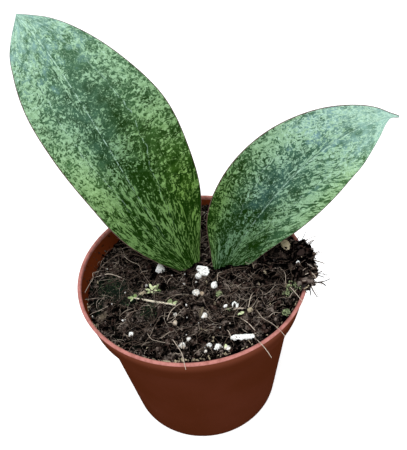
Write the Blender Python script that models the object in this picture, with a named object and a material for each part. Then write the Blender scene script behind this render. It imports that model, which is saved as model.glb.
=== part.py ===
"""A potted hoya: two broad leaves rooted in potting mix in a small round nursery pot.

Metres, +Z up. The origin is the middle of the pot's underside. The front, towards which
both leaves turn their faces, is -Y, and +X is on the right seen from the front.
"""
import math

import bmesh
import bpy
import numpy as np
from mathutils import Vector, noise

MM = 0.001
CLEARANCE = 0.3 * MM            # gap that two pieces keep where they touch

# Pot: a thin moulded cup with a collar, a rolled lip and a footed floor
TURNED_SIDES = 48
POT_HEIGHT = 72.0 * MM
RIM_RADIUS = 45.0 * MM          # over the rolled lip
LIP_WIDTH = 1.4 * MM
LIP_HEIGHT = 1.6 * MM
LIP_STEPS = 6
WALL = 1.0 * MM
COLLAR_HEIGHT = 12.4 * MM       # from the rim to the step
COLLAR_TOP_RADIUS = 44.4 * MM
COLLAR_FOOT_RADIUS = 42.4 * MM
STEP_HEIGHT = 1.6 * MM          # the slanted ledge between collar and body
BODY_TOP_RADIUS = 39.4 * MM
BASE_RADIUS = 31.7 * MM
BASE_ROUNDING = 1.8 * MM
FLOOR_UNDERSIDE = 2.0 * MM
FLOOR_THICKNESS = 1.2 * MM
FOOT_RING_WIDTH = 2.2 * MM
CENTRE_FOOT_RADIUS = 9.0 * MM
FOOT_SLOPE = 1.0 * MM           # how far the centre foot's side leans out
NOTCH_COUNT = 3                 # gaps in the foot ring, which let water run off
NOTCH_HEIGHT = 1.2 * MM
NOTCH_ANGLE = math.radians(38)
NOTCH_STEPS = 4
FIRST_NOTCH = math.radians(-131)
DRAIN_COUNT = 8
DRAIN_RADIUS = 3.0 * MM
DRAIN_CIRCLE = 18.5 * MM
DRAIN_SIDES = 12

# Potting mix: high at the front and right, low at the left and back
SOIL_CENTRE = 70.0 * MM
SOIL_RISE_RIGHT = 5.0 * MM
SOIL_BOW_ACROSS = -1.5 * MM
SOIL_RISE_BACK = -2.2 * MM
SOIL_BOW_DEEP = -1.0 * MM
LUMP_HEIGHT = 0.9 * MM
LUMP_SIZE = 7.0 * MM
SOIL_RINGS = (0.97, 0.9, 0.8, 0.68, 0.55, 0.42, 0.28, 0.14)
# A clump of it heaped over the rim at the right
HEAP_ANGLE = math.radians(-3)
HEAP_SPREAD = math.radians(21)
HEAP_RADIUS = 42.6 * MM
HEAP_REACH = 5.8 * MM
HEAP_HEIGHT = 4.2 * MM
HEAP_ROUGHNESS = 0.22
HEAP_LUMPS = 2.5                # how fine its lumps are
HEAP_STEPS = 12

# Buried cutting: a stem with a swollen node on top and roots below
NODE_CENTRE = (4.5 * MM, 0.9 * MM)
NODE_TOP = 53.0 * MM
NODE_RADIUS = 3.4 * MM
STEM_RADIUS = 2.1 * MM
STEM_FOOT = Vector((6.5, 3.5, 15.0)) * MM
ROOT_COUNT = 6
ROOT_RADIUS = 0.9 * MM
ROOT_TIP_RADIUS = 0.45 * MM
ROOT_REACH = 21.0 * MM
ROOT_DROP = 13.0 * MM
TOP_ROOT = 40.0 * MM
ROOT_SPACING = 4.2 * MM
GOLDEN_ANGLE = math.radians(137.5)

# Leaves: the stations run along the midrib, from where stalk and blade meet to the tip
STATIONS = (0.0, 0.06, 0.14, 0.25, 0.4, 0.55, 0.7, 0.82, 0.91, 0.965, 1.0)
BLADE_THICKNESS = 1.4 * MM      # along the midrib
MARGIN_SHARE = 0.5              # of that thickness, at the leaf's edge
STALK_RADIUS = 1.45 * MM
STALK_STEPS = 4
BLADE_STEPS = 20
BLADE_COLUMNS = 12
LEAVES = {
    "leaf_left": {
        # midrib as the four points of a Bezier curve, in millimetres
        "midrib": ((1.5, 3.0, 62.5), (-18.5, 5.5, 100.0), (-30.5, 26.5, 142.5), (-55.0, 61.0, 154.5)),
        # half width in millimetres at each station, on the left and right of the midrib
        "left": (1.45, 3.0, 8.0, 13.7, 17.3, 19.7, 19.3, 15.5, 10.7, 5.2, 0.5),
        "right": (1.45, 5.0, 12.0, 21.1, 26.1, 27.2, 21.9, 15.2, 8.6, 3.5, 0.5),
        "roll": (-24, -33),     # degrees by which the blade turns its face, at base and tip
        "cup": 15,              # degrees by which each half rises towards its edge
        "stalk_foot": (2.9, 1.7),
    },
    "leaf_right": {
        "midrib": ((7.5, -1.5, 60.0), (21.5, 3.5, 89.5), (50.5, 18.5, 120.0), (83.5, 26.5, 115.0)),
        "left": (1.45, 2.5, 7.5, 16.0, 20.9, 20.7, 16.2, 10.5, 5.6, 2.1, 0.5),
        "right": (1.45, 2.5, 6.5, 10.4, 15.4, 17.2, 15.7, 12.4, 6.3, 0.5, 0.5),
        "roll": (19, 18),
        "cup": 14,
        "stalk_foot": (6.2, 0.0),
    },
}

# Loose pieces on the soil: place across and deep, and size, in millimetres
PERLITE = (
    (-12.8, 4.3, 4.2), (4.5, -1.2, 4.4), (8.2, -9.8, 2.3), (1.0, -11.5, 2.8), (3.0, -23.4, 2.2),
    (15.0, -21.0, 2.3), (11.3, -21.1, 1.5), (4.0, -37.2, 1.9), (6.8, -38.4, 2.3), (10.0, -39.8, 2.2),
    (-5.7, -35.2, 2.0), (-24.1, -26.2, 1.7), (40.2, -6.4, 1.7),
)
CRUMB_RISE = 0.25               # share of its radius by which a crumb's middle stands above the mix
CRUMB_UNEVENNESS = 0.22
CRUMB_LUMPS = 1.6               # how fine its lumps are
SHARD_ENDS = ((11.6, -36.0), (19.9, -37.0))
SHARD_RADIUS = 1.0 * MM
SPRIG_ENDS = ((-23.5, -8.2), (-7.2, -16.0))
SPRIG_RADIUS = 0.36 * MM
SPRIG_RISE = 0.5 * MM
SPRIG_LEAFLET = (2.3, 1.3, 0.6)  # length, width and thickness in millimetres
SPRIG_LEAFLETS = ((0.0, 165), (0.03, 105), (0.05, -120), (0.82, -75), (0.88, -110), (0.93, -50))
LEAFLET_SLOPE = 0.12
CHIP_PLACE = (38.1, 4.9)
CHIP_SIZE = (4.6, 3.0, 1.4)


def clear_scene():
    for item in list(bpy.data.objects):
        bpy.data.objects.remove(item, do_unlink=True)


def make_material(name, colour, roughness):
    material = bpy.data.materials.new(name)
    material.use_nodes = True
    shader = material.node_tree.nodes["Principled BSDF"]
    shader.inputs["Base Color"].default_value = (*colour, 1.0)
    shader.inputs["Roughness"].default_value = roughness
    shader.inputs["Metallic"].default_value = 0.0
    return material


def make_object(name, points, faces, material=None):
    """A mesh object whose faces point outwards, smooth except at its real edges."""
    mesh = bpy.data.meshes.new(name)
    mesh.from_pydata([tuple(point) for point in points], [], faces)
    shape = bmesh.new()
    shape.from_mesh(mesh)
    bmesh.ops.recalc_face_normals(shape, faces=shape.faces)
    shape.to_mesh(mesh)
    shape.free()
    mesh.shade_smooth()
    mesh.set_sharp_from_angle(angle=math.radians(40))
    item = bpy.data.objects.new(name, mesh)
    bpy.context.scene.collection.objects.link(item)
    if material:
        mesh.materials.append(material)
    return item


def combine(item, others, operation, solver="EXACT"):
    """Unite the item with the others, or cut them out of it, and remove them."""
    group = bpy.data.collections.new("others")
    bpy.context.scene.collection.children.link(group)
    for other in others:
        bpy.context.scene.collection.objects.unlink(other)
        group.objects.link(other)
    boolean = item.modifiers.new(operation.title(), "BOOLEAN")
    boolean.operation = operation
    boolean.operand_type = "COLLECTION"
    boolean.collection = group
    boolean.solver = solver
    evaluated = item.evaluated_get(bpy.context.evaluated_depsgraph_get())
    result = bpy.data.meshes.new_from_object(evaluated)
    item.modifiers.clear()
    item.data = result
    for other in others:
        bpy.data.objects.remove(other, do_unlink=True)
    bpy.data.collections.remove(group)


def circle_point(radius, angle, height):
    return Vector((radius * math.cos(angle), radius * math.sin(angle), height))


def loft(rings):
    """Join rings of equally many points into a closed tube with flat ends."""
    count = len(rings[0])
    points = [point for ring in rings for point in ring]
    faces = []
    for row in range(len(rings) - 1):
        for column in range(count):
            following = (column + 1) % count
            low = row * count
            high = low + count
            faces.append((low + column, low + following, high + following, high + column))
    faces.append(tuple(reversed(range(count))))
    top = (len(rings) - 1) * count
    faces.append(tuple(range(top, top + count)))
    return points, faces


def turn(profile, sides=TURNED_SIDES):
    """Turn a profile of (radius, height) pairs, whose ends lie on the axis, about Z."""
    points = [Vector((0, 0, profile[0][1])), Vector((0, 0, profile[-1][1]))]
    rings = []
    for radius, height in profile[1:-1]:
        rings.append(range(len(points), len(points) + sides))
        points.extend(circle_point(radius, 2 * math.pi * side / sides, height) for side in range(sides))
    faces = []
    for side in range(sides):
        following = (side + 1) % sides
        faces.append((0, rings[0][following], rings[0][side]))
        faces.append((1, rings[-1][side], rings[-1][following]))
        for lower, upper in zip(rings, rings[1:]):
            faces.append((lower[side], lower[following], upper[following], upper[side]))
    return points, faces


def tube(path, radii, sides):
    """A tube with flat ends along a path, with one radius for each of its points."""
    span = path[-1] - path[0]
    aside = Vector((1, 0, 0)) if abs(span.z) > 0.8 * span.length else Vector((0, 0, 1))
    rings = []
    for index, centre in enumerate(path):
        before = path[max(index - 1, 0)]
        after = path[min(index + 1, len(path) - 1)]
        along = (after - before).normalized()
        across = along.cross(aside).normalized()
        upward = along.cross(across)
        ring = []
        for side in range(sides):
            angle = 2 * math.pi * side / sides
            ring.append(centre + radii[index] * (math.cos(angle) * across + math.sin(angle) * upward))
        rings.append(ring)
    return loft(rings)


# Pot

COLLAR_FOOT = POT_HEIGHT - COLLAR_HEIGHT
BODY_TOP = COLLAR_FOOT - STEP_HEIGHT
FLOOR_TOP = FLOOR_UNDERSIDE + FLOOR_THICKNESS


def pot_inside(inset):
    """Profile of the hollow, from the axis at the floor up to the lip, drawn in by the inset."""
    foot_top = FLOOR_THICKNESS + inset
    dip = CENTRE_FOOT_RADIUS - inset
    return [
        (0.0, foot_top),
        (dip - FOOT_SLOPE, foot_top),
        (dip, FLOOR_TOP + inset),
        (BASE_RADIUS - WALL - BASE_ROUNDING / 2 - inset, FLOOR_TOP + inset),
        (BASE_RADIUS - WALL - inset, FLOOR_TOP + BASE_ROUNDING / 2 + inset),
        (BODY_TOP_RADIUS - WALL - inset, BODY_TOP + inset),
        (COLLAR_FOOT_RADIUS - WALL - inset, COLLAR_FOOT + inset),
    ]


def make_pot():
    ring_outside = BASE_RADIUS - BASE_ROUNDING
    lip_inside = RIM_RADIUS - LIP_WIDTH
    lip_middle = RIM_RADIUS - LIP_WIDTH / 2
    lip_foot = POT_HEIGHT - LIP_HEIGHT
    outside = [
        (0.0, 0.0),
        (CENTRE_FOOT_RADIUS, 0.0),
        (CENTRE_FOOT_RADIUS + FOOT_SLOPE, FLOOR_UNDERSIDE),
        (ring_outside - FOOT_RING_WIDTH, FLOOR_UNDERSIDE),
        (ring_outside - FOOT_RING_WIDTH, 0.0),
        (ring_outside, 0.0),
        (BASE_RADIUS - 0.3 * BASE_ROUNDING, 0.3 * BASE_ROUNDING),
        (BASE_RADIUS, BASE_ROUNDING),
        (BODY_TOP_RADIUS, BODY_TOP),
        (COLLAR_FOOT_RADIUS, COLLAR_FOOT),
        (COLLAR_TOP_RADIUS, lip_foot),
    ]
    lip = []
    for step in range(LIP_STEPS + 1):
        angle = math.pi * step / LIP_STEPS
        reach = LIP_WIDTH / 2 * math.cos(angle)
        rise = LIP_WIDTH / 2 * math.sin(angle)
        lip.append((lip_middle + reach, POT_HEIGHT - LIP_WIDTH / 2 + rise))
    inside = [(lip_inside, lip_foot)] + pot_inside(0.0)[::-1]
    pot = make_object("pot", *turn(outside + lip + inside), POT_PLASTIC)

    cutters = []
    for number in range(DRAIN_COUNT):
        angle = 2 * math.pi * (number + 0.5) / DRAIN_COUNT
        centre = circle_point(DRAIN_CIRCLE, angle, 0)
        path = [centre + Vector((0, 0, FLOOR_UNDERSIDE - WALL)), centre + Vector((0, 0, FLOOR_TOP + WALL))]
        cutters.append(make_object("drain", *tube(path, [DRAIN_RADIUS] * 2, DRAIN_SIDES)))
    for number in range(NOTCH_COUNT):
        middle = FIRST_NOTCH + 2 * math.pi * number / NOTCH_COUNT
        cutters.append(make_notch(middle))
    combine(pot, cutters, "DIFFERENCE")
    return pot


def make_notch(middle):
    """A curved block that cuts one gap into the foot ring."""
    inner = BASE_RADIUS - BASE_ROUNDING - 2 * FOOT_RING_WIDTH
    outer = BASE_RADIUS + FOOT_RING_WIDTH
    rings = []
    for step in range(NOTCH_STEPS + 1):
        angle = middle + NOTCH_ANGLE * (step / NOTCH_STEPS - 0.5)
        rings.append([
            circle_point(inner, angle, -WALL),
            circle_point(outer, angle, -WALL),
            circle_point(outer, angle, NOTCH_HEIGHT),
            circle_point(inner, angle, NOTCH_HEIGHT),
        ])
    return make_object("notch", *loft(rings))


# Potting mix


def soil_height(x, y):
    """Height of the mix: a gentle slope with lumps."""
    across = x / RIM_RADIUS
    deep = y / RIM_RADIUS
    slope = SOIL_RISE_RIGHT * across + SOIL_BOW_ACROSS * across * across
    slope += SOIL_RISE_BACK * deep + SOIL_BOW_DEEP * deep * deep
    lumps = LUMP_HEIGHT * noise.noise(Vector((x, y, 0.0)) / LUMP_SIZE)
    return SOIL_CENTRE + slope + lumps


def wall_radius(height):
    """Radius of the mix where it meets the collar at this height."""
    share = (height - COLLAR_FOOT) / (POT_HEIGHT - LIP_HEIGHT - COLLAR_FOOT)
    low = COLLAR_FOOT_RADIUS - WALL
    high = RIM_RADIUS - LIP_WIDTH
    return low + (high - low) * min(share, 1.0) - CLEARANCE


def make_soil():
    points = [Vector((0, 0, FLOOR_THICKNESS + CLEARANCE))]
    rings = []
    for radius, height in pot_inside(CLEARANCE)[1:]:
        rings.append(range(len(points), len(points) + TURNED_SIDES))
        for side in range(TURNED_SIDES):
            points.append(circle_point(radius, 2 * math.pi * side / TURNED_SIDES, height))
    edge = []
    for side in range(TURNED_SIDES):
        angle = 2 * math.pi * side / TURNED_SIDES
        place = circle_point(COLLAR_TOP_RADIUS - WALL, angle, 0)
        height = min(soil_height(place.x, place.y), POT_HEIGHT - WALL)
        edge.append(circle_point(wall_radius(height), angle, height))
    rings.append(range(len(points), len(points) + TURNED_SIDES))
    points.extend(edge)
    for share in SOIL_RINGS:
        rings.append(range(len(points), len(points) + TURNED_SIDES))
        for corner in edge:
            x = corner.x * share
            y = corner.y * share
            points.append(Vector((x, y, soil_height(x, y))))
    points.append(Vector((0, 0, soil_height(0, 0))))
    top = len(points) - 1
    faces = []
    for side in range(TURNED_SIDES):
        following = (side + 1) % TURNED_SIDES
        faces.append((0, rings[0][following], rings[0][side]))
        faces.append((top, rings[-1][side], rings[-1][following]))
        for lower, upper in zip(rings, rings[1:]):
            faces.append((lower[side], lower[following], upper[following]))
            faces.append((lower[side], upper[following], upper[side]))
    return make_object("soil", points, faces, SOIL_DARK)


def heap_height(x, y):
    """Height of the clump's top, or nothing beside it."""
    outward = (math.hypot(x, y) - HEAP_RADIUS) / HEAP_REACH
    along_rim = (math.atan2(y, x) - HEAP_ANGLE) / HEAP_SPREAD
    inside = 1.0 - outward * outward - along_rim * along_rim
    return POT_HEIGHT + HEAP_HEIGHT * math.sqrt(inside) if inside > 0 else 0.0


def make_heap():
    """The clump on the rim, flat underneath where it bridges the lip."""
    shape = bmesh.new()
    bmesh.ops.create_icosphere(shape, subdivisions=3, radius=1.0)
    for vertex in shape.verts:
        unit = vertex.co.copy()
        swell = 1.0 + HEAP_ROUGHNESS * noise.noise(unit * HEAP_LUMPS)
        angle = HEAP_ANGLE + HEAP_SPREAD * unit.y * swell
        radius = HEAP_RADIUS + HEAP_REACH * unit.x * swell
        vertex.co = circle_point(radius, angle, POT_HEIGHT + HEAP_HEIGHT * unit.z * swell)
    mesh = bpy.data.meshes.new("heap")
    shape.to_mesh(mesh)
    shape.free()
    heap = bpy.data.objects.new("heap", mesh)
    bpy.context.scene.collection.objects.link(heap)
    outer = HEAP_RADIUS + 2 * HEAP_REACH
    below = POT_HEIGHT - 2 * HEAP_HEIGHT
    bridge = POT_HEIGHT + CLEARANCE
    whole_spread = 2.5 * HEAP_SPREAD
    rings = []
    for step in range(HEAP_STEPS + 1):
        angle = HEAP_ANGLE + whole_spread * (step / HEAP_STEPS - 0.5)
        rings.append([
            circle_point(wall_radius(below), angle, below),
            circle_point(outer, angle, below),
            circle_point(outer, angle, bridge),
            circle_point(wall_radius(bridge), angle, bridge),
        ])
    combine(heap, [make_object("rim_space", *loft(rings))], "DIFFERENCE", "MANIFOLD")
    return heap


# Buried stem and roots


def stem_path():
    top = Vector((NODE_CENTRE[0], NODE_CENTRE[1], NODE_TOP))
    heights = (0.0, 0.25, 0.5, 0.75, 0.88, 0.94, 1.0)
    return [STEM_FOOT.lerp(top, share) for share in heights]


def stem_radii(grow):
    thick = (0.75, 0.95, 1.0, 1.0, 1.0)
    radii = [STEM_RADIUS * share + grow for share in thick]
    return radii + [NODE_RADIUS + grow, NODE_RADIUS + grow]


def root_path(number):
    """A root leaves the stem, runs outwards and sinks."""
    start = TOP_ROOT - ROOT_SPACING * number
    path = []
    for step in range(6):
        share = step / 5
        angle = GOLDEN_ANGLE * number + 0.5 * math.sin(3.0 * share + number)
        share_of_stem = (start - STEM_FOOT.z) / (NODE_TOP - STEM_FOOT.z)
        origin = STEM_FOOT.lerp(Vector((NODE_CENTRE[0], NODE_CENTRE[1], NODE_TOP)), share_of_stem)
        reach = circle_point(ROOT_REACH * share, angle, -ROOT_DROP * share ** 1.4)
        path.append(origin + reach)
    return path


def root_radii(grow):
    return [ROOT_RADIUS + (ROOT_TIP_RADIUS - ROOT_RADIUS) * step / 5 + grow for step in range(6)]


def make_stem(name, grow=0.0, material=None):
    """The stem with its roots; with a growth, the space that it takes in the mix."""
    path = stem_path()
    path[-1] = path[-1] + Vector((0, 0, grow))
    path[0] = path[0] - Vector((0, 0, grow))
    stem = make_object(name, *tube(path, stem_radii(grow), 12), material)
    roots = []
    for number in range(ROOT_COUNT):
        path = root_path(number)
        path[-1] = path[-1] + (path[-1] - path[-2]).normalized() * grow
        roots.append(make_object("root", *tube(path, root_radii(grow), 6)))
    # the roots fork at flat angles, which leaves open edges with the default solver
    combine(stem, roots, "UNION", "MANIFOLD")
    return stem


# Leaves


def smooth_widths(shares, widths):
    """Read the half width at each share of the length from a smooth curve through the stations."""
    stations = np.array(STATIONS)
    values = np.array(widths) * MM
    slopes = np.gradient(values, stations)
    index = np.clip(np.searchsorted(stations, shares, side="right") - 1, 0, len(stations) - 2)
    gap = stations[index + 1] - stations[index]
    t = (shares - stations[index]) / gap
    start = (2 * t ** 3 - 3 * t ** 2 + 1) * values[index] + (t ** 3 - 2 * t ** 2 + t) * gap * slopes[index]
    end = (3 * t ** 2 - 2 * t ** 3) * values[index + 1] + (t ** 3 - t ** 2) * gap * slopes[index + 1]
    return start + end


def bezier(corners, shares):
    """Points and unit directions along a Bezier curve of four points."""
    a, b, c, d = np.array(corners) * MM
    s = shares[:, None]
    points = (1 - s) ** 3 * a + 3 * (1 - s) ** 2 * s * b + 3 * (1 - s) * s ** 2 * c + s ** 3 * d
    along = 3 * (1 - s) ** 2 * (b - a) + 6 * (1 - s) * s * (c - b) + 3 * s ** 2 * (d - c)
    return points, along / np.linalg.norm(along, axis=1)[:, None]


def stalk_corners(leaf, foot_height):
    """The stalk rises straight from the node and bends into the midrib."""
    base = np.array(leaf["midrib"][0])
    onward = np.array(leaf["midrib"][1]) - base
    onward = onward / np.linalg.norm(onward)
    foot = np.array((*leaf["stalk_foot"], foot_height / MM))
    third = np.linalg.norm(base - foot) / 3
    return foot, foot + (0, 0, third), base - third * onward, base


def leaf_sections(leaf, foot_height, last_share, grow):
    """Cross-sections from the stalk's foot to the given share of the blade."""
    stalk_shares = np.linspace(0.0, 1.0, STALK_STEPS + 1)[:-1]
    steps = max(round(BLADE_STEPS * last_share), 3)
    blade_shares = last_share * np.linspace(0.0, 1.0, steps + 1)
    stalk_points, stalk_along = bezier(stalk_corners(leaf, foot_height), stalk_shares)
    blade_points, blade_along = bezier(leaf["midrib"], blade_shares)
    centres = np.vstack((stalk_points, blade_points))
    along = np.vstack((stalk_along, blade_along))
    shares = np.concatenate((np.zeros(STALK_STEPS), blade_shares))
    stalk_width = np.full(STALK_STEPS, STALK_RADIUS)
    left = np.concatenate((stalk_width, smooth_widths(blade_shares, leaf["left"]))) + grow
    right = np.concatenate((stalk_width, smooth_widths(blade_shares, leaf["right"]))) + grow

    towards_front = np.array((0.0, -1.0, 0.0))
    level = np.cross(along, towards_front)
    level /= np.linalg.norm(level, axis=1)[:, None]
    facing = np.cross(level, along)
    roll = np.radians(leaf["roll"][0] + (leaf["roll"][1] - leaf["roll"][0]) * shares)[:, None]
    across = np.cos(roll) * level + np.sin(roll) * facing
    outward = np.cross(across, along)
    return centres, across, outward, shares, left, right


def make_leaf(name, leaf, foot_height=NODE_TOP + CLEARANCE, last_share=1.0, grow=0.0, material=None):
    """One leaf with its stalk, as a closed solid split into triangles alike on both faces."""
    centres, across, outward, shares, left, right = leaf_sections(leaf, foot_height, last_share, grow)
    positions = np.linspace(-1.0, 1.0, BLADE_COLUMNS + 1)
    roundness = np.exp(-(shares / 0.07) ** 2)
    thickness = BLADE_THICKNESS + (2 * STALK_RADIUS - BLADE_THICKNESS) * roundness
    face_points = []
    back_points = []
    for row in range(len(centres)):
        for position in positions:
            width = left[row] if position < 0 else right[row]
            lift_angle = math.radians(leaf["cup"]) * abs(position) / 2 * (1 - roundness[row])
            sideways = width * position * math.cos(lift_angle)
            lifted = width * abs(position) * math.sin(lift_angle)
            flat = MARGIN_SHARE + (1 - MARGIN_SHARE) * (1 - position ** 2)
            bulge = math.sqrt(1 - (0.95 * position) ** 2)
            half = thickness[row] / 2 * (flat + (bulge - flat) * roundness[row]) + grow
            middle = centres[row] + sideways * across[row] + lifted * outward[row]
            face_points.append(middle + half * outward[row])
            back_points.append(middle - half * outward[row])

    columns = BLADE_COLUMNS + 1
    back = len(face_points)
    faces = []

    def split_quad(a, b, c, d):
        faces.append((a, b, c))
        faces.append((a, c, d))

    last = (len(centres) - 1) * columns
    for row in range(len(centres) - 1):
        low = row * columns
        high = low + columns
        for column in range(BLADE_COLUMNS):
            quad = (low + column, low + column + 1, high + column + 1, high + column)
            split_quad(*quad)
            a, b, c, d = (back + corner for corner in quad)
            faces.append((a, c, b))
            faces.append((a, d, c))
        split_quad(low, high, back + high, back + low)
        split_quad(low + BLADE_COLUMNS, back + low + BLADE_COLUMNS,
                   back + high + BLADE_COLUMNS, high + BLADE_COLUMNS)
    for column in range(BLADE_COLUMNS):
        split_quad(column, back + column, back + column + 1, column + 1)
        split_quad(last + column, last + column + 1, back + last + column + 1, back + last + column)
    return make_object(name, face_points + back_points, faces, material)


# Loose pieces on the soil


def on_soil(place, above):
    x = place[0] * MM
    y = place[1] * MM
    return Vector((x, y, max(soil_height(x, y), heap_height(x, y)) + above))


def make_crumb(name, number, place, size, grow=0.0, material=None):
    """A puffed mineral crumb, a little flat and uneven, pressed into the mix."""
    radius = size * MM / 2
    centre = on_soil(place, CRUMB_RISE * radius)
    shape = bmesh.new()
    bmesh.ops.create_icosphere(shape, subdivisions=2, radius=1.0)
    for vertex in shape.verts:
        unit = vertex.co.copy()
        lump = noise.noise(CRUMB_LUMPS * unit + Vector((7.0 * number, 0, 0)))
        uneven = 1.0 + CRUMB_UNEVENNESS * lump
        vertex.co = centre + unit * (radius * uneven + grow)
    mesh = bpy.data.meshes.new(name)
    shape.to_mesh(mesh)
    shape.free()
    mesh.shade_smooth()
    crumb = bpy.data.objects.new(name, mesh)
    bpy.context.scene.collection.objects.link(crumb)
    if material:
        mesh.materials.append(material)
    return crumb


def make_shard(name, grow=0.0, material=None):
    """A thin white splinter that lies on the mix."""
    start = on_soil(SHARD_ENDS[0], 0.5 * SHARD_RADIUS)
    end = on_soil(SHARD_ENDS[1], 0.5 * SHARD_RADIUS)
    along = (end - start).normalized()
    path = [start - along * grow]
    path.extend(start.lerp(end, share) for share in (0.1, 0.4, 0.7, 0.92))
    path.append(end + along * grow)
    shares = (0.55, 1.0, 1.1, 0.95, 0.8, 0.4)
    radii = [SHARD_RADIUS * share + grow for share in shares]
    return make_object(name, *tube(path, radii, 7), material)


def make_sprig(name, grow=0.0, material=None):
    """A pale dry sprig with small leaflets near both ends."""
    start = on_soil(SPRIG_ENDS[0], SPRIG_RISE)
    end = on_soil(SPRIG_ENDS[1], SPRIG_RISE)
    along = (end - start).normalized()
    sideways = along.cross(Vector((0, 0, 1))).normalized()
    path = [start - along * grow, start.lerp(end, 0.5), end + along * grow]
    sprig = make_object(name, *tube(path, [SPRIG_RADIUS + grow] * 3, 7), material)
    leaflets = []
    for share, turn_angle in SPRIG_LEAFLETS:
        angle = math.radians(turn_angle)
        outward = math.cos(angle) * along + math.sin(angle) * sideways
        across = outward.cross(Vector((0, 0, 1))).normalized()
        root = start.lerp(end, share)
        length, width, thickness = (value * MM for value in SPRIG_LEAFLET)
        rings = []
        for step, swell in ((-0.1, 0.35), (0.25, 0.85), (0.55, 1.0), (0.85, 0.6), (1.0, 0.2)):
            centre = root + outward * (length * step + (grow if step == 1.0 else 0.0))
            centre = centre + Vector((0, 0, LEAFLET_SLOPE * length * step))
            half_width = width / 2 * swell + grow
            half_height = thickness / 2 + grow
            rings.append([
                centre - half_width * across,
                centre + Vector((0, 0, half_height)),
                centre + half_width * across,
                centre - Vector((0, 0, half_height)),
            ])
        leaflets.append(make_object("leaflet", *loft(rings)))
    combine(sprig, leaflets, "UNION")
    return sprig


def make_chip(name, grow=0.0, material=None):
    """A chip of bark, wedged into the slope of the heap."""
    centre = on_soil(CHIP_PLACE, 0.5 * MM)
    length, width, thickness = (value * MM / 2 + grow for value in CHIP_SIZE)
    lengthwise = Vector((0.25, 0.9, 0.35)).normalized()
    upward = Vector((-0.45, -0.2, 0.9))
    across = lengthwise.cross(upward).normalized()
    upward = across.cross(lengthwise)
    rings = []
    for share, swell in ((-1.0, 0.6), (-0.55, 1.0), (0.4, 0.9), (1.0, 0.5)):
        middle = centre + lengthwise * (length * share)
        half = width * swell
        rings.append([
            middle - half * across - thickness * upward,
            middle + half * across - 0.8 * thickness * upward,
            middle + 0.9 * half * across + thickness * upward,
            middle - 0.8 * half * across + thickness * upward,
        ])
    return make_object(name, *loft(rings), material)


clear_scene()
POT_PLASTIC = make_material("pot_plastic", (0.100, 0.028, 0.014), 0.5)
SOIL_DARK = make_material("soil_dark", (0.016, 0.011, 0.008), 0.95)
ROOT_TAN = make_material("root_tan", (0.34, 0.22, 0.12), 0.8)
LEAF_GREEN = make_material("leaf_green", (0.05, 0.13, 0.05), 0.4)
PERLITE_WHITE = make_material("perlite_white", (0.80, 0.79, 0.75), 0.9)
SPRIG_PALE = make_material("sprig_pale", (0.52, 0.50, 0.22), 0.8)
BARK_TAN = make_material("bark_tan", (0.32, 0.22, 0.13), 0.85)

make_pot()
soil = make_soil()
# the mix is joined and cut with the solver that keeps such a dense mesh closed
combine(soil, [make_heap()], "UNION", "MANIFOLD")
make_stem("stem_with_roots", material=ROOT_TAN)
holes = [make_stem("stem_hole", grow=CLEARANCE)]
for leaf_name, leaf_shape in LEAVES.items():
    make_leaf(leaf_name, leaf_shape, material=LEAF_GREEN)
    holes.append(make_leaf("leaf_hole", leaf_shape, foot_height=NODE_TOP, last_share=0.22, grow=CLEARANCE))
for crumb_number, (crumb_x, crumb_y, crumb_size) in enumerate(PERLITE, 1):
    crumb_place = (crumb_x, crumb_y)
    make_crumb(f"perlite_{crumb_number:02d}", crumb_number, crumb_place, crumb_size, material=PERLITE_WHITE)
    holes.append(make_crumb("crumb_hole", crumb_number, crumb_place, crumb_size, grow=CLEARANCE))
for maker, piece_name, piece_material in (
    (make_shard, "perlite_shard", PERLITE_WHITE),
    (make_sprig, "dry_sprig", SPRIG_PALE),
    (make_chip, "bark_chip", BARK_TAN),
):
    maker(piece_name, material=piece_material)
    holes.append(maker("piece_hole", grow=CLEARANCE))
combine(soil, holes, "DIFFERENCE", "MANIFOLD")
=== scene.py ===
"""The looks of a potted hoya: two splashed leaves rooted in a small nursery pot.

Metres, +Z up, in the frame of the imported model. The front is -Y.
"""
import math

import bmesh
import bpy
import numpy as np
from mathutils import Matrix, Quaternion, Vector, noise


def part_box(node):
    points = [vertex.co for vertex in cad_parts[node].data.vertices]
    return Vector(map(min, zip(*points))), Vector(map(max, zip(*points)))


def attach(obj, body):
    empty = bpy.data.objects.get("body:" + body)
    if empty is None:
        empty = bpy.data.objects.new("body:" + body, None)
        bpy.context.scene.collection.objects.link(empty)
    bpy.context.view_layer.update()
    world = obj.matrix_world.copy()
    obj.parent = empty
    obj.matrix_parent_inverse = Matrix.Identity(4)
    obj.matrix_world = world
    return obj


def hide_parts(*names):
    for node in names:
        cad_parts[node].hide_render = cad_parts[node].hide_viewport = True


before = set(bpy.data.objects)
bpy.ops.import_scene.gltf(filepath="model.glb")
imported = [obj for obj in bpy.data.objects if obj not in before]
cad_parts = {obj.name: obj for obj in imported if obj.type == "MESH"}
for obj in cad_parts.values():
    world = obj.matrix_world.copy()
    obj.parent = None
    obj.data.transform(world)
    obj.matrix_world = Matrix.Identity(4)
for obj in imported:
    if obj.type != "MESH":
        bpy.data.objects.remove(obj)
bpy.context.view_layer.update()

# Camera
# It looks down on the plant from the front at 42 degrees and is tipped by 6 degrees. It is
# so close that the rim shows as a wide ellipse and the leaf tips come towards it.

MM = 0.001
CAMERA_TARGET = Vector((6.3, 0.0, 94.5)) * MM
CAMERA_DISTANCE = 237.2 * MM
CAMERA_LENS = 51.68
LOOK_DOWN = math.radians(42.44)
CAMERA_TIP = math.radians(-5.96)

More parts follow.
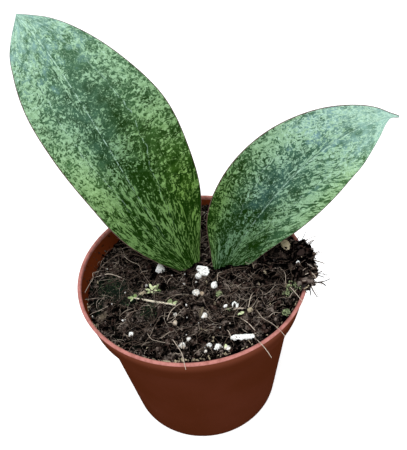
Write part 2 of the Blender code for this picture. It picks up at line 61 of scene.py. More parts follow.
camera_data = bpy.data.cameras.new("camera")
camera_data.lens = CAMERA_LENS
camera_data.clip_start = 0.01
camera = bpy.data.objects.new("camera", camera_data)
bpy.context.scene.collection.objects.link(camera)
turn_down = Quaternion((1, 0, 0), math.radians(90) - LOOK_DOWN)
turn_aside = Quaternion((0, 0, 1), CAMERA_TIP)
camera.rotation_mode = "QUATERNION"
camera.rotation_quaternion = turn_down @ turn_aside
camera.location = CAMERA_TARGET + turn_down @ Vector((0, 0, CAMERA_DISTANCE))
bpy.context.scene.camera = camera
bpy.context.scene.view_settings.view_transform = "Standard"

# Floor and light
# A matt white table under a soft box that hangs over the plant, in a bright white room.

FLOOR_REACH = 4.0
FLOOR_WHITE = (0.930, 0.930, 0.930)
FLOOR_OFF_WHITE = (0.916, 0.916, 0.916)
FLOOR_GLOW = 0.30                # lights the pot from below, as a white table does
FLOOR_SEEN_GLOW = 0.46           # keeps the table white to the eye where the plant shades it
ROOM_LIGHT = 0.60
SOFT_BOX_PLACE = Vector((-0.05, -0.35, 0.95))
SOFT_BOX_SIZE = 0.6
SOFT_BOX_WATTS = 9.0
SOFT_BOX_COLOUR = (0.93, 0.97, 1.0)


def add_node(tree, kind, inputs=(), **settings):
    """Add a node with its settings. Its inputs are values, or other nodes' outputs to link."""
    made = tree.nodes.new(kind)
    for name, value in settings.items():
        setattr(made, name, value)
    for place, value in dict(inputs).items():
        if isinstance(value, bpy.types.NodeSocket):
            tree.links.new(value, made.inputs[place])
        else:
            made.inputs[place].default_value = value
    return made


def start_material(name, roughness, specular=0.3):
    """A new material, with its node tree and its shader."""
    material = bpy.data.materials.new(name)
    material.use_nodes = True
    shader = material.node_tree.nodes["Principled BSDF"]
    shader.inputs["Roughness"].default_value = roughness
    shader.inputs["Specular IOR Level"].default_value = specular
    return material, material.node_tree, shader


def maths(tree, operation, *values):
    """One sum: the operation is named as Blender's maths node names it."""
    return add_node(tree, "ShaderNodeMath", enumerate(values), operation=operation).outputs[0]


def step_up(tree, value, low, high):
    """Nought below the low value, one above the high one, and smooth between."""
    inputs = {"Value": value, "From Min": low, "From Max": high}
    return add_node(tree, "ShaderNodeMapRange", inputs, interpolation_type="SMOOTHSTEP").outputs[0]


def step_down(tree, value, low, high):
    """One below the low value, nought above the high one, and smooth between."""
    return step_up(tree, value, high, low)


def mix_colours(tree, share, low, high):
    """The low colour where the share is nought, and the high one where it is one."""
    inputs = {0: share}
    for place, colour in ((6, low), (7, high)):
        inputs[place] = (*colour, 1.0) if isinstance(colour, tuple) else colour
    return add_node(tree, "ShaderNodeMix", inputs, data_type="RGBA").outputs[2]


def cloud(tree, place, scale, detail=2.0, roughness=0.5, distortion=0.0):
    """Soft noise round one half. Its scale is the number of waves in one unit of the place."""
    inputs = {"Vector": place, "Scale": scale, "Detail": detail, "Roughness": roughness}
    inputs["Distortion"] = distortion
    return add_node(tree, "ShaderNodeTexNoise", inputs).outputs["Fac"]


def finish_material(tree, shader, colour, height, depth):
    """Give the shader its colour, and let the height stand out of the surface by the depth."""
    tree.links.new(colour, shader.inputs["Base Color"])
    bump = add_node(tree, "ShaderNodeBump", {"Height": height, "Distance": depth})
    tree.links.new(bump.outputs["Normal"], shader.inputs["Normal"])


def object_place(tree):
    """The place in the piece's own frame, in metres."""
    return add_node(tree, "ShaderNodeTexCoord").outputs["Object"]


floor_mesh = bpy.data.meshes.new("floor")
corners = [(FLOOR_REACH * x, FLOOR_REACH * y, 0) for x, y in ((-1, -1), (1, -1), (1, 1), (-1, 1))]
floor_mesh.from_pydata(corners, [], [(0, 1, 2, 3)])
floor = bpy.data.objects.new("floor", floor_mesh)
bpy.context.scene.collection.objects.link(floor)
floor_paint, tree, shader = start_material("floor_paint", roughness=0.8)
shade = cloud(tree, object_place(tree), 60.0)
tree.links.new(mix_colours(tree, shade, FLOOR_WHITE, FLOOR_OFF_WHITE), shader.inputs["Base Color"])
shader.inputs["Emission Color"].default_value = (1, 1, 1, 1)
seen = add_node(tree, "ShaderNodeLightPath").outputs["Is Camera Ray"]
glow = maths(tree, "MULTIPLY_ADD", seen, FLOOR_SEEN_GLOW - FLOOR_GLOW, FLOOR_GLOW)
tree.links.new(glow, shader.inputs["Emission Strength"])
floor_mesh.materials.append(floor_paint)

room = bpy.data.worlds.new("room")
room.use_nodes = True
tree = room.node_tree
seen_white = add_node(tree, "ShaderNodeBackground", {"Strength": 1.0})
seen_white.inputs["Color"].default_value = (1, 1, 1, 1)
room_light = tree.nodes["Background"]
room_light.inputs["Color"].default_value = (1, 1, 1, 1)
room_light.inputs["Strength"].default_value = ROOM_LIGHT
seen = add_node(tree, "ShaderNodeLightPath").outputs["Is Camera Ray"]
both = add_node(tree, "ShaderNodeMixShader", {0: seen, 1: room_light.outputs[0], 2: seen_white.outputs[0]})
tree.links.new(both.outputs[0], tree.nodes["World Output"].inputs["Surface"])
bpy.context.scene.world = room

soft_box_data = bpy.data.lights.new("soft_box", "AREA")
soft_box_data.size = SOFT_BOX_SIZE
soft_box_data.energy = SOFT_BOX_WATTS
soft_box_data.color = SOFT_BOX_COLOUR
soft_box = bpy.data.objects.new("soft_box", soft_box_data)
bpy.context.scene.collection.objects.link(soft_box)
soft_box.location = SOFT_BOX_PLACE
soft_box.rotation_mode = "QUATERNION"
soft_box.rotation_quaternion = (CAMERA_TARGET - SOFT_BOX_PLACE).to_track_quat("-Z", "Y")

# Pot
# A thin nursery pot moulded in brown plastic: a tapered body, a step, a slanted collar and
# a rolled lip, worn pale and with a painted pink highlight on its rounded top. The floor has drain holes and
# stands on a ring.

POT_HEIGHT = 72.0 * MM
RIM_RADIUS = 45.0 * MM
LIP_WIDTH = 1.4 * MM
LIP_FOOT = 70.4 * MM
WALL = 1.0 * MM
COLLAR_FOOT = 59.6 * MM
COLLAR_TOP_RADIUS = 44.4 * MM
COLLAR_FOOT_RADIUS = 42.4 * MM
BODY_TOP = 58.0 * MM
BODY_TOP_RADIUS = 39.4 * MM
BASE_RADIUS = 31.7 * MM
BASE_ROUNDING = 1.8 * MM
FLOOR_UNDERSIDE = 2.0 * MM
FLOOR_THICKNESS = 1.2 * MM
FLOOR_TOP = FLOOR_UNDERSIDE + FLOOR_THICKNESS
FOOT_RING_WIDTH = 2.2 * MM
CENTRE_FOOT_RADIUS = 9.0 * MM
FOOT_SLOPE = 1.0 * MM
NOTCH_COUNT = 3
NOTCH_HEIGHT = 1.2 * MM
NOTCH_ANGLE = math.radians(38)
FIRST_NOTCH = math.radians(-131)
DRAIN_COUNT = 8
DRAIN_RADIUS = 3.0 * MM
DRAIN_CIRCLE = 18.5 * MM
POT_SIDES = 192
POT_ROUNDING = 0.35 * MM
ORANGE_BAND_HEIGHT = 6.5 * MM         # the collar turns orange over this far below the lip
PLASTIC_BROWN = (0.0600, 0.0138, 0.0050)
PLASTIC_FADED = (0.0700, 0.0170, 0.0078)
# painted glow: the inside is brighter and redder, as light shines through the thin wall
PLASTIC_INSIDE_GLOW = (0.1300, 0.0250, 0.0068)
PLASTIC_ORANGE = (0.1700, 0.0480, 0.0260)
SCUFF_PINK = (0.1700, 0.0650, 0.0420)
# the lip's pink: partly wear, partly a painted highlight where the rounded lip faces the light
LIP_PINK_WEAR_AND_HIGHLIGHT = (0.5000, 0.2050, 0.1800)
# Noise scales, in waves a metre
FADE_SCALE = 38.0
SCUFF_SCALE = 900.0
SCUFFED_AREA_SCALE = 55.0
LIP_EDGE_SCALE = 300.0
LIP_PATCH_SCALE = 420.0
MOULD_GRAIN_SCALE = 900.0
SCUFF_STRETCH = (1.0, 1.0, 0.1)  # draws the scuffs out upwards


def make_piece(name, points, faces, material, smooth=True):
    """A mesh object with one material."""
    mesh = bpy.data.meshes.new(name)
    if isinstance(faces, np.ndarray):
        faces = faces.tolist()
    mesh.from_pydata(np.asarray(points, float).tolist(), [], faces)
    if smooth:
        mesh.shade_smooth()
    mesh.materials.append(material)
    piece = bpy.data.objects.new(name, mesh)
    bpy.context.scene.collection.objects.link(piece)
    return piece


def finish_piece(piece, slot, *replaced):
    """Fix the piece to the plant's one body, and hide the solids that it stands for."""
    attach(piece, "root")
    if replaced:
        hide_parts(*replaced)


def circle_point(radius, angle, height):
    """The point at this angle on a level circle about Z."""
    return Vector((radius * math.cos(angle), radius * math.sin(angle), height))


def round_corners(profile, rounding):
    """Replace each corner of a (radius, height) profile by three points on a small curve."""
    corners = [Vector(corner) for corner in profile]
    rounded = [corners[0]]
    for before, corner, after in zip(corners, corners[1:], corners[2:]):
        to_before = before - corner
        to_after = after - corner
        cut = min(rounding, 0.4 * to_before.length, 0.4 * to_after.length)
        start = corner + to_before.normalized() * cut
        end = corner + to_after.normalized() * cut
        rounded += [start, 0.25 * start + 0.5 * corner + 0.25 * end, end]
    return rounded + [corners[-1]]


def close_rings(bottom, rings, top):
    """Join rings of equally many points into a body that a point closes at each end."""
    points = [bottom, top] + [point for ring in rings for point in ring]
    sides = len(rings[0])
    last = len(points) - sides
    faces = []
    for side in range(sides):
        following = (side + 1) % sides
        faces.append((0, 2 + following, 2 + side))
        faces.append((1, last + side, last + following))
        for low in range(2, last, sides):
            high = low + sides
            faces.append((low + side, low + following, high + following, high + side))
    return points, faces


def turn_profile(profile, sides):
    """Turn a profile, whose ends lie on the axis, about Z into a closed body."""
    rings = []
    for radius, height in profile[1:-1]:
        rings.append([circle_point(radius, 2 * math.pi * side / sides, height) for side in range(sides)])
    return close_rings(Vector((0, 0, profile[0][1])), rings, Vector((0, 0, profile[-1][1])))


def pot_inside(inset):
    """Profile of the hollow, from the axis at the floor up to the collar, drawn in by the inset."""
    dip = CENTRE_FOOT_RADIUS - inset
    corner = BASE_RADIUS - WALL - inset
    return [
        (0.0, FLOOR_THICKNESS + inset),
        (dip - FOOT_SLOPE, FLOOR_THICKNESS + inset),
        (dip, FLOOR_TOP + inset),
        (corner - BASE_ROUNDING / 2, FLOOR_TOP + inset),
        (corner, FLOOR_TOP + BASE_ROUNDING / 2 + inset),
        (BODY_TOP_RADIUS - WALL - inset, BODY_TOP + inset),
        (COLLAR_FOOT_RADIUS - WALL - inset, COLLAR_FOOT + inset),
    ]


def pot_profile():
    """Profile of the whole pot: down the axis, up the outside, over the lip and down the inside."""
    ring_outside = BASE_RADIUS - BASE_ROUNDING
    outside = [
        (0.0, 0.0),
        (CENTRE_FOOT_RADIUS, 0.0),
        (CENTRE_FOOT_RADIUS + FOOT_SLOPE, FLOOR_UNDERSIDE),
        (ring_outside - FOOT_RING_WIDTH, FLOOR_UNDERSIDE),
        (ring_outside - FOOT_RING_WIDTH, 0.0),
        (ring_outside, 0.0),
        (BASE_RADIUS - 0.3 * BASE_ROUNDING, 0.3 * BASE_ROUNDING),
        (BASE_RADIUS, BASE_ROUNDING),
        (BODY_TOP_RADIUS, BODY_TOP),
        (COLLAR_FOOT_RADIUS, COLLAR_FOOT),
        (COLLAR_TOP_RADIUS, LIP_FOOT),
    ]
    lip = []
    for angle in np.linspace(0, math.pi, 13):
        reach = LIP_WIDTH / 2 * (math.cos(angle) - 1)
        lip.append((RIM_RADIUS + reach, POT_HEIGHT + LIP_WIDTH / 2 * (math.sin(angle) - 1)))
    lower = round_corners(outside + lip[:1], POT_ROUNDING)
    inside = [lip[-1], (RIM_RADIUS - LIP_WIDTH, LIP_FOOT)] + pot_inside(0.0)[::-1]
    upper = round_corners(inside, POT_ROUNDING)
    return lower + [Vector(place) for place in lip[1:-1]] + upper


def cut_out(item, cutters):
    """Cut the cutters out of the item, and remove them."""
    group = bpy.data.collections.new("cutters")
    for cutter in cutters:
        group.objects.link(cutter)
    boolean = item.modifiers.new("cut", "BOOLEAN")
    boolean.operand_type = "COLLECTION"
    boolean.collection = group
    boolean.solver = "MANIFOLD"
    evaluated = item.evaluated_get(bpy.context.evaluated_depsgraph_get())
    item.data = bpy.data.meshes.new_from_object(evaluated)
    item.modifiers.clear()
    for cutter in cutters:
        bpy.data.objects.remove(cutter, do_unlink=True)
    bpy.data.collections.remove(group)


def loft(rings):
    """Join rings of equally many points into a closed body with flat ends."""
    count = len(rings[0])
    points = [point for ring in rings for point in ring]
    faces = [tuple(reversed(range(count))), tuple(range(len(points) - count, len(points)))]
    for low in range(0, len(points) - count, count):
        for column in range(count):
            following = (column + 1) % count
            faces.append((low + column, low + following, low + count + following, low + count + column))
    return points, faces


def set_values(piece, name, values):
    """Store one value for each point of a piece, which its material reads."""
    values = np.asarray(values, np.float32)
    kind = "FLOAT" if values.ndim == 1 else "FLOAT_VECTOR"
    attribute = piece.data.attributes.new(name, kind, "POINT")
    attribute.data.foreach_set("value" if values.ndim == 1 else "vector", values.ravel())


def stored(tree, name, output="Fac"):
    """A value that the mesh holds at each point."""
    return add_node(tree, "ShaderNodeAttribute", attribute_name=name).outputs[output]


def split(tree, vector):
    """The three numbers of a vector."""
    return add_node(tree, "ShaderNodeSeparateXYZ", {0: vector}).outputs


def points_of(piece):
    """The places of a mesh's points, one row each."""
    points = np.empty(3 * len(piece.data.vertices), np.float32)
    piece.data.vertices.foreach_get("co", points)
    return points.reshape(-1, 3)


def make_cutter(rings):
    """A closed body to cut with, its faces pointing out."""
    cutter = make_piece("cutter", *loft(rings), pot_plastic)
    shape = bmesh.new()
    shape.from_mesh(cutter.data)
    bmesh.ops.recalc_face_normals(shape, faces=shape.faces)
    shape.to_mesh(cutter.data)
    shape.free()
    return cutter


def make_pot():
    """The turned pot with its drain holes and the notches in its foot ring."""
    pot = make_piece("nursery_pot", *turn_profile(pot_profile(), POT_SIDES), pot_plastic)
    cutters = []
    for number in range(DRAIN_COUNT):
        centre = circle_point(DRAIN_CIRCLE, 2 * math.pi * (number + 0.5) / DRAIN_COUNT, 0)
        rings = []
        for height in (FLOOR_UNDERSIDE - WALL, FLOOR_TOP + WALL):
            rings.append([centre + circle_point(DRAIN_RADIUS, math.radians(15 * step), height)
                          for step in range(24)])
        cutters.append(make_cutter(rings))
    inner = BASE_RADIUS - BASE_ROUNDING - 2 * FOOT_RING_WIDTH
    outer = BASE_RADIUS + FOOT_RING_WIDTH
    for number in range(NOTCH_COUNT):
        middle = FIRST_NOTCH + 2 * math.pi * number / NOTCH_COUNT
        rings = []
        for angle in np.linspace(middle - NOTCH_ANGLE / 2, middle + NOTCH_ANGLE / 2, 9):
            rings.append([
                circle_point(inner, angle, -WALL),
                circle_point(outer, angle, -WALL),
                circle_point(outer, angle, NOTCH_HEIGHT),
                circle_point(inner, angle, NOTCH_HEIGHT),
            ])
        cutters.append(make_cutter(rings))
    cut_out(pot, cutters)
    pot.data.shade_smooth()
    pot.data.set_sharp_from_angle(angle=math.radians(35))
    places = points_of(pot)
    heights = (BASE_ROUNDING, BODY_TOP, COLLAR_FOOT, POT_HEIGHT)
    radii = (BASE_RADIUS, BODY_TOP_RADIUS, COLLAR_FOOT_RADIUS, RIM_RADIUS)
    outside = np.interp(places[:, 2], heights, radii)
    inner = np.hypot(places[:, 0], places[:, 1]) < outside - 0.7 * WALL
    set_values(pot, "inside", inner & (places[:, 2] > BASE_ROUNDING))
    return pot


pot_plastic, tree, shader = start_material("pot_plastic", roughness=0.6, specular=0.0)
place = object_place(tree)
streaked = add_node(tree, "ShaderNodeMapping", {"Vector": place, "Scale": SCUFF_STRETCH}).outputs[0]
height = split(tree, place)[2]
faded = step_up(tree, cloud(tree, place, FADE_SCALE, detail=3.0), 0.35, 0.75)
plastic = mix_colours(tree, faded, PLASTIC_BROWN, PLASTIC_FADED)
scuff = step_up(tree, cloud(tree, streaked, SCUFF_SCALE, detail=3.0, roughness=0.6), 0.66, 0.80)
scuffed_area = step_up(tree, cloud(tree, place, SCUFFED_AREA_SCALE, detail=2.0), 0.52, 0.68)
scuff = maths(tree, "MULTIPLY", scuff, scuffed_area)
plastic = mix_colours(tree, maths(tree, "MULTIPLY", scuff, 0.5), plastic, SCUFF_PINK)
near_lip = step_up(tree, height, LIP_FOOT - ORANGE_BAND_HEIGHT, LIP_FOOT)
plastic = mix_colours(tree, maths(tree, "MULTIPLY", near_lip, 0.7), plastic, PLASTIC_ORANGE)
# the inside gets the painted glow of light shining through the wall
plastic = mix_colours(tree, stored(tree, "inside"), plastic, PLASTIC_INSIDE_GLOW)
# The lip turns pale pink in patches, partly from wear and partly as a painted highlight on its rounded top
wavy_edge = cloud(tree, place, LIP_EDGE_SCALE)
wavy_height = maths(tree, "MULTIPLY_ADD", wavy_edge, 0.5 * MM, height)
worn = step_up(tree, wavy_height, LIP_FOOT - 0.1 * MM, LIP_FOOT + 0.7 * MM)
patchy = step_up(tree, cloud(tree, place, LIP_PATCH_SCALE, detail=4.0, roughness=0.7), 0.30, 0.62)
worn = maths(tree, "MULTIPLY", worn, maths(tree, "MULTIPLY_ADD", patchy, 0.45, 0.5))
plastic = mix_colours(tree, worn, plastic, LIP_PINK_WEAR_AND_HIGHLIGHT)
tree.links.new(maths(tree, "MULTIPLY_ADD", worn, 0.2, 0.52), shader.inputs["Roughness"])
mould_grain = cloud(tree, place, MOULD_GRAIN_SCALE, detail=3.0)
finish_material(tree, shader, plastic, mould_grain, 0.06 * MM)

finish_piece(make_pot(), "pot_plastic", "pot")

# Potting mix
# Dark peat fills the pot, low at the left and back, with a clump heaped over the rim at the
# right. Crumbs and clods lie loose on it, and some crumbs stick to the wall at the left.

CLEARANCE = 0.3 * MM
# The mix's smooth top: its height in the middle, then how much it rises and bows to the right
# and to the back
SOIL_CENTRE = 70.0 * MM
SOIL_RISE_RIGHT = 5.0 * MM
SOIL_BOW_ACROSS = -1.5 * MM
SOIL_RISE_BACK = -2.2 * MM
SOIL_BOW_DEEP = -1.0 * MM
LUMP_HEIGHT = 0.9 * MM
LUMP_SIZE = 7.0 * MM
# The clump's ball: where its middle lies on the rim, and its reach on each side
HEAP_ANGLE = math.radians(-6.5)
HEAP_SPREAD = math.radians(17)
HEAP_RADIUS = 42.6 * MM
HEAP_REACH = 5.2 * MM
HEAP_HEIGHT = 4.2 * MM
HEAP_ROUGHNESS = 0.22
HEAP_FINENESS = 6                # how often the clump's ball is subdivided
HEAP_LUMPINESS = 2.4
BED_SIDES = 240
BED_RINGS = 90
# Lumps of the surface, coarse to fine: height and size
BED_LUMPS = ((0.95 * MM, 2.6 * MM), (0.50 * MM, 1.1 * MM))
# Sizes are in millimetres, from the smallest to the largest
CRUMB_COUNT = 8400
CRUMB_SIZES = (0.30, 1.05)
PALE_CRUMBS = 0.22               # share of the crumbs that are dry and pale
CLOD_COUNT = 360
CLOD_SIZES = (1.3, 2.8)
CLOD_GAP = 1.8 * MM              # no clod lies nearer to a blade than this
CHUNK_COUNT = 70                 # coarse bits in the clump
CHUNK_SIZES = (1.6, 4.2)
WALL_CRUMB_COUNT = 60
WALL_SECTOR = (math.radians(125), math.radians(200))
STREWN_REACH = RIM_RADIUS + 2.5 * MM
PEAT_BLACK = (0.0006, 0.0005, 0.0005)
PEAT_BROWN = (0.0340, 0.0250, 0.0205)
PEAT_PALE = (0.1700, 0.1350, 0.1150)
PEAT_RED = (0.0380, 0.0165, 0.0130)
PEAT_BLUE = (0.0110, 0.0120, 0.0170)
PEAT_MOSS = (0.0100, 0.0190, 0.0115)
# Lines along which the blades rise out of the mix: ends in millimetres
BLADE_FEET = (((-8.5, 1.5), (2.3, 4.8)), ((8.1, 1.2), (20.0, -1.5)))
FOOT_SHADE = 0.35                # painted shade: how much darker the mix is against a blade
FOOT_SHADE_REACH = 3.0 * MM
# Noise scales, in waves a metre
PATCH_SCALE = 420.0
HUE_SCALE = 330.0
MOSS_SCALE = 260.0
PEAT_GRAIN_SCALE = 1100.0
GROUND_TONE_SIZE = 2.0 * MM
# Soft round places in millimetres, across and deep, with their reach, and how much paler they are, darker
# below nought: partly the peat's own tone and partly painted shade under the leaves
TONE_AND_SHADE_PLACES = (
    (-33.0, -4.0, 12.0, -0.22), (-12.0, 7.0, 8.0, -0.25), (8.0, -20.0, 15.0, 0.14), (29.0, -5.0, 10.0, -0.30),
    (24.0, -26.0, 10.0, 0.08), (40.0, 0.0, 9.0, -0.26), (-8.0, -25.0, 4.0, -0.20), (3.5, 8.0, 5.0, -0.12),
    (44.0, -15.0, 4.0, 0.22),
)
# The same for how mossy they are
MOSSY_PLACES = (
    (-33.0, 0.5, 7.5, 0.95), (-24.5, -7.0, 5.5, 0.75), (-17.5, -16.5, 5.0, 0.80), (-9.0, -8.0, 4.5, 0.50),
    (-38.0, -11.0, 5.0, 0.45), (34.0, -20.0, 5.0, 0.45), (-29.0, -27.0, 6.0, 0.40), (-20.0, -33.0, 5.0, 0.35),
)


def soil_height(x, y):
    """Height of the mix: a gentle slope with lumps."""
    across = x / RIM_RADIUS
    deep = y / RIM_RADIUS
    slope = SOIL_RISE_RIGHT * across + SOIL_BOW_ACROSS * across * across
    slope += SOIL_RISE_BACK * deep + SOIL_BOW_DEEP * deep * deep
    return SOIL_CENTRE + slope + LUMP_HEIGHT * noise.noise(Vector((x, y, 0.0)) / LUMP_SIZE)


def heap_height(x, y):
    """Height of the clump's top, or nothing beside it."""
    outward = (math.hypot(x, y) - HEAP_RADIUS) / HEAP_REACH
    along_rim = (math.atan2(y, x) - HEAP_ANGLE) / HEAP_SPREAD
    inside = 1.0 - outward * outward - along_rim * along_rim
    return POT_HEIGHT + HEAP_HEIGHT * math.sqrt(inside) if inside > 0 else 0.0


def top_height(x, y):
    """Height of the mix or the clump, whichever stands higher."""
    return max(soil_height(x, y), heap_height(x, y))


def wall_radius(height):
    """Radius of the mix where it meets the collar at this height."""
    share = (height - COLLAR_FOOT) / (LIP_FOOT - COLLAR_FOOT)
    low = COLLAR_FOOT_RADIUS - WALL
    high = RIM_RADIUS - LIP_WIDTH
    return low + (high - low) * min(share, 1.0) - CLEARANCE


def lumpiness(place):
    """How far the loose surface stands above or below the smooth one."""
    return sum(depth * noise.noise(place / size) for depth, size in BED_LUMPS)


def make_bed():
    """The mix as one closed body that fills the pot, with a rough top."""
    profile = pot_inside(CLEARANCE)
    angles = [2 * math.pi * side / BED_SIDES for side in range(BED_SIDES)]
    rings = []
    for radius, height in profile[1:]:
        rings.append([circle_point(radius, angle, height) for angle in angles])
    edge = []
    for angle in angles:
        place = circle_point(COLLAR_TOP_RADIUS - WALL, angle, 0)
        height = min(soil_height(place.x, place.y), POT_HEIGHT - WALL)
        edge.append(circle_point(wall_radius(height), angle, height))
    rings.append(edge)
    for ring in range(BED_RINGS - 1, 0, -1):
        share = ring / BED_RINGS
        row = []
        for corner in edge:
            place = Vector((corner.x * share, corner.y * share, 0))
            place.z = soil_height(place.x, place.y)
            place.z += lumpiness(place) * min(1.0, 12 * (1 - share))
            row.append(place)
        rings.append(row)
    bottom = Vector((0, 0, profile[0][1]))
    top = Vector((0, 0, soil_height(0, 0)))
    return make_piece("potting_mix", *close_rings(bottom, rings, top), peat)


def ball(fineness):
    """Points and faces of a ball of radius one."""
    shape = bmesh.new()
    bmesh.ops.create_icosphere(shape, subdivisions=fineness, radius=1.0)
    points = np.array([vertex.co for vertex in shape.verts])
    faces = np.array([[vertex.index for vertex in face.verts] for face in shape.faces])
    shape.free()
    return points, faces


def make_heap():
    """The clump on the rim, flattened underneath where it bridges the lip."""
    points = []
    units, faces = ball(HEAP_FINENESS)
    for unit in units:
        unit = Vector(unit)
        swell = 1.0 + HEAP_ROUGHNESS * noise.noise(unit * 2.5)
        angle = HEAP_ANGLE + HEAP_SPREAD * unit.y * swell
        radius = HEAP_RADIUS + HEAP_REACH * unit.x * swell
        place = circle_point(radius, angle, POT_HEIGHT + HEAP_HEIGHT * unit.z * swell)
        place += circle_point(unit.x, angle, unit.z) * (HEAP_LUMPINESS * lumpiness(place))
        if radius > wall_radius(POT_HEIGHT):
            place.z = max(place.z, POT_HEIGHT + 0.3 * CLEARANCE)
        points.append(place)
    return make_piece("heaped_mix", points, faces, peat)


def distance_to_feet(points):
    """Distance on the plan from each point to the nearer line where a blade meets the mix."""
    nearest = np.full(len(points), np.inf)
    for start, end in BLADE_FEET:
        start = np.array(start) * MM
        span = np.array(end) * MM - start
        share = np.clip((points[:, :2] - start) @ span / (span @ span), 0, 1)
        gap = points[:, :2] - start - share[:, None] * span
        nearest = np.minimum(nearest, np.linalg.norm(gap, axis=1))
    return nearest


def soft_places(points, rows):
    """The sum of soft round places at the points."""
    total = np.zeros(len(points))
    for x, y, reach, amount in rows:
        away = np.hypot(points[:, 0] / MM - x, points[:, 1] / MM - y) / reach
        total += amount * np.exp(-away * away)
    return total


def shade_by_place(piece):
    """Store how much paler and how mossy each point of a piece is for its place: the peat's own tone, with
    painted shade under the leaves and against the blades.
    """
    points = points_of(piece)
    paler_and_shaded = soft_places(points, TONE_AND_SHADE_PLACES)
    paler_and_shaded -= FOOT_SHADE * np.exp(-distance_to_feet(points) / FOOT_SHADE_REACH)
    mossy = soft_places(points, MOSSY_PLACES)
    set_values(piece, "shade", np.stack((paler_and_shaded, mossy, np.zeros(len(points))), axis=1))


def turned_at_random(rng, count):
    """As many rotation matrices as asked for."""
    first = rng.normal(size=(count, 3))
    first /= np.linalg.norm(first, axis=1)[:, None]
    second = np.cross(first, rng.normal(size=(count, 3)))
    second /= np.linalg.norm(second, axis=1)[:, None]
    return np.stack((first, second, np.cross(first, second)), axis=2)


def add_lumps(name, slot, material, rng, places, sizes, tones, proportions, unevenness, fineness):
    """Add many small uneven lumps as one piece, each with its own tone."""
    units, faces = ball(fineness)
    count = len(places)
    spread = 1.0 + unevenness * rng.uniform(-1.0, 1.0, (count, len(units), 1))
    stretch = np.asarray(proportions) * rng.uniform(0.7, 1.3, (count, 3))
    stretched = units[None] * spread * stretch[:, None]
    turned = np.einsum("nij,nkj->nki", turned_at_random(rng, count), stretched)
    points = places[:, None] + turned * (sizes / 2)[:, None, None]
    faces = faces[None] + (len(units) * np.arange(count))[:, None, None]
    piece = make_piece(name, points.reshape(-1, 3), faces.reshape(-1, 3), material, smooth=fineness > 1)
    set_values(piece, "tone", np.repeat(tones, len(units)))
    shade_by_place(piece)
    finish_piece(piece, slot)


def strewn_places(rng, count, sizes, sunk=0.1):
    """Places on top of the mix and the clump, each lump sunk in by a share of its size."""
    places = []
    while len(places) < count:
        radius = STREWN_REACH * math.sqrt(rng.uniform())
        angle = rng.uniform(0, 2 * math.pi)
        spot = circle_point(radius, angle, 0)
        size = sizes[len(places)]
        heap = heap_height(spot.x, spot.y)
        if not heap and radius > wall_radius(soil_height(spot.x, spot.y)) - size / 2:
            continue
        spot.z = max(heap, soil_height(spot.x, spot.y)) + (0.5 - sunk) * size * rng.uniform(0.2, 1.0)
        places.append(spot)
    return np.array(places)


def places_on_wall(rng, sizes):
    """Places on the inside of the collar, most of them just above the mix."""
    places = []
    for size in sizes:
        angle = rng.uniform(*WALL_SECTOR)
        foot = circle_point(wall_radius(LIP_FOOT), angle, 0)
        low = soil_height(foot.x, foot.y)
        height = low + (LIP_FOOT - low) * rng.uniform() ** 2.5
        places.append(circle_point(wall_radius(height) + CLEARANCE - 0.3 * size, angle, height))
    return np.array(places)


def places_on_heap(rng, count):
    """Places on the clump's top and outer side."""
    places = []
    for _ in range(count):
        angle = HEAP_ANGLE + HEAP_SPREAD * rng.uniform(-0.95, 0.95)
        radius = HEAP_RADIUS + HEAP_REACH * rng.uniform(-0.8, 0.85)
        spot = circle_point(radius, angle, 0)
        spot.z = max(top_height(spot.x, spot.y), POT_HEIGHT)
        places.append(spot)
    return np.array(places)


def make_tone_group():
    """A shader node group that varies a tone by wide patches and by a fine grain."""
    group = bpy.data.node_groups.new("varied_tone", "ShaderNodeTree")
    group.interface.new_socket("Vector", in_out="INPUT", socket_type="NodeSocketVector")
    for name in ("Tone", "Patchiness", "Grain Scale", "Graininess"):
        group.interface.new_socket(name, in_out="INPUT", socket_type="NodeSocketFloat")
    for name in ("Tone", "Grain"):
        group.interface.new_socket(name, in_out="OUTPUT", socket_type="NodeSocketFloat")
    given = group.nodes.new("NodeGroupInput").outputs
    result = group.nodes.new("NodeGroupOutput").inputs
    patches = maths(group, "SUBTRACT", cloud(group, given["Vector"], PATCH_SCALE, 2.0, 0.6), 0.5)
    grain = cloud(group, given["Vector"], given["Grain Scale"], 3.0, 0.7)
    varied = maths(group, "MULTIPLY_ADD", patches, given["Patchiness"], given["Tone"])
    fine = maths(group, "SUBTRACT", grain, 0.5)
    group.links.new(maths(group, "MULTIPLY_ADD", fine, given["Graininess"], varied), result["Tone"])
    group.links.new(grain, result["Grain"])
    return group


def varied_tone(tree, place, tone, grain_scale, graininess, patchiness=0.0):
    """Place the tone group in a material: the varied tone, and the grain for its bump."""
    inputs = {"Vector": place, "Tone": tone, "Patchiness": patchiness, "Grain Scale": grain_scale}
    inputs["Graininess"] = graininess
    return add_node(tree, "ShaderNodeGroup", inputs, node_tree=tone_group).outputs


tone_group = make_tone_group()
peat, tree, shader = start_material("peat", roughness=0.9, specular=0.0)
place = object_place(tree)
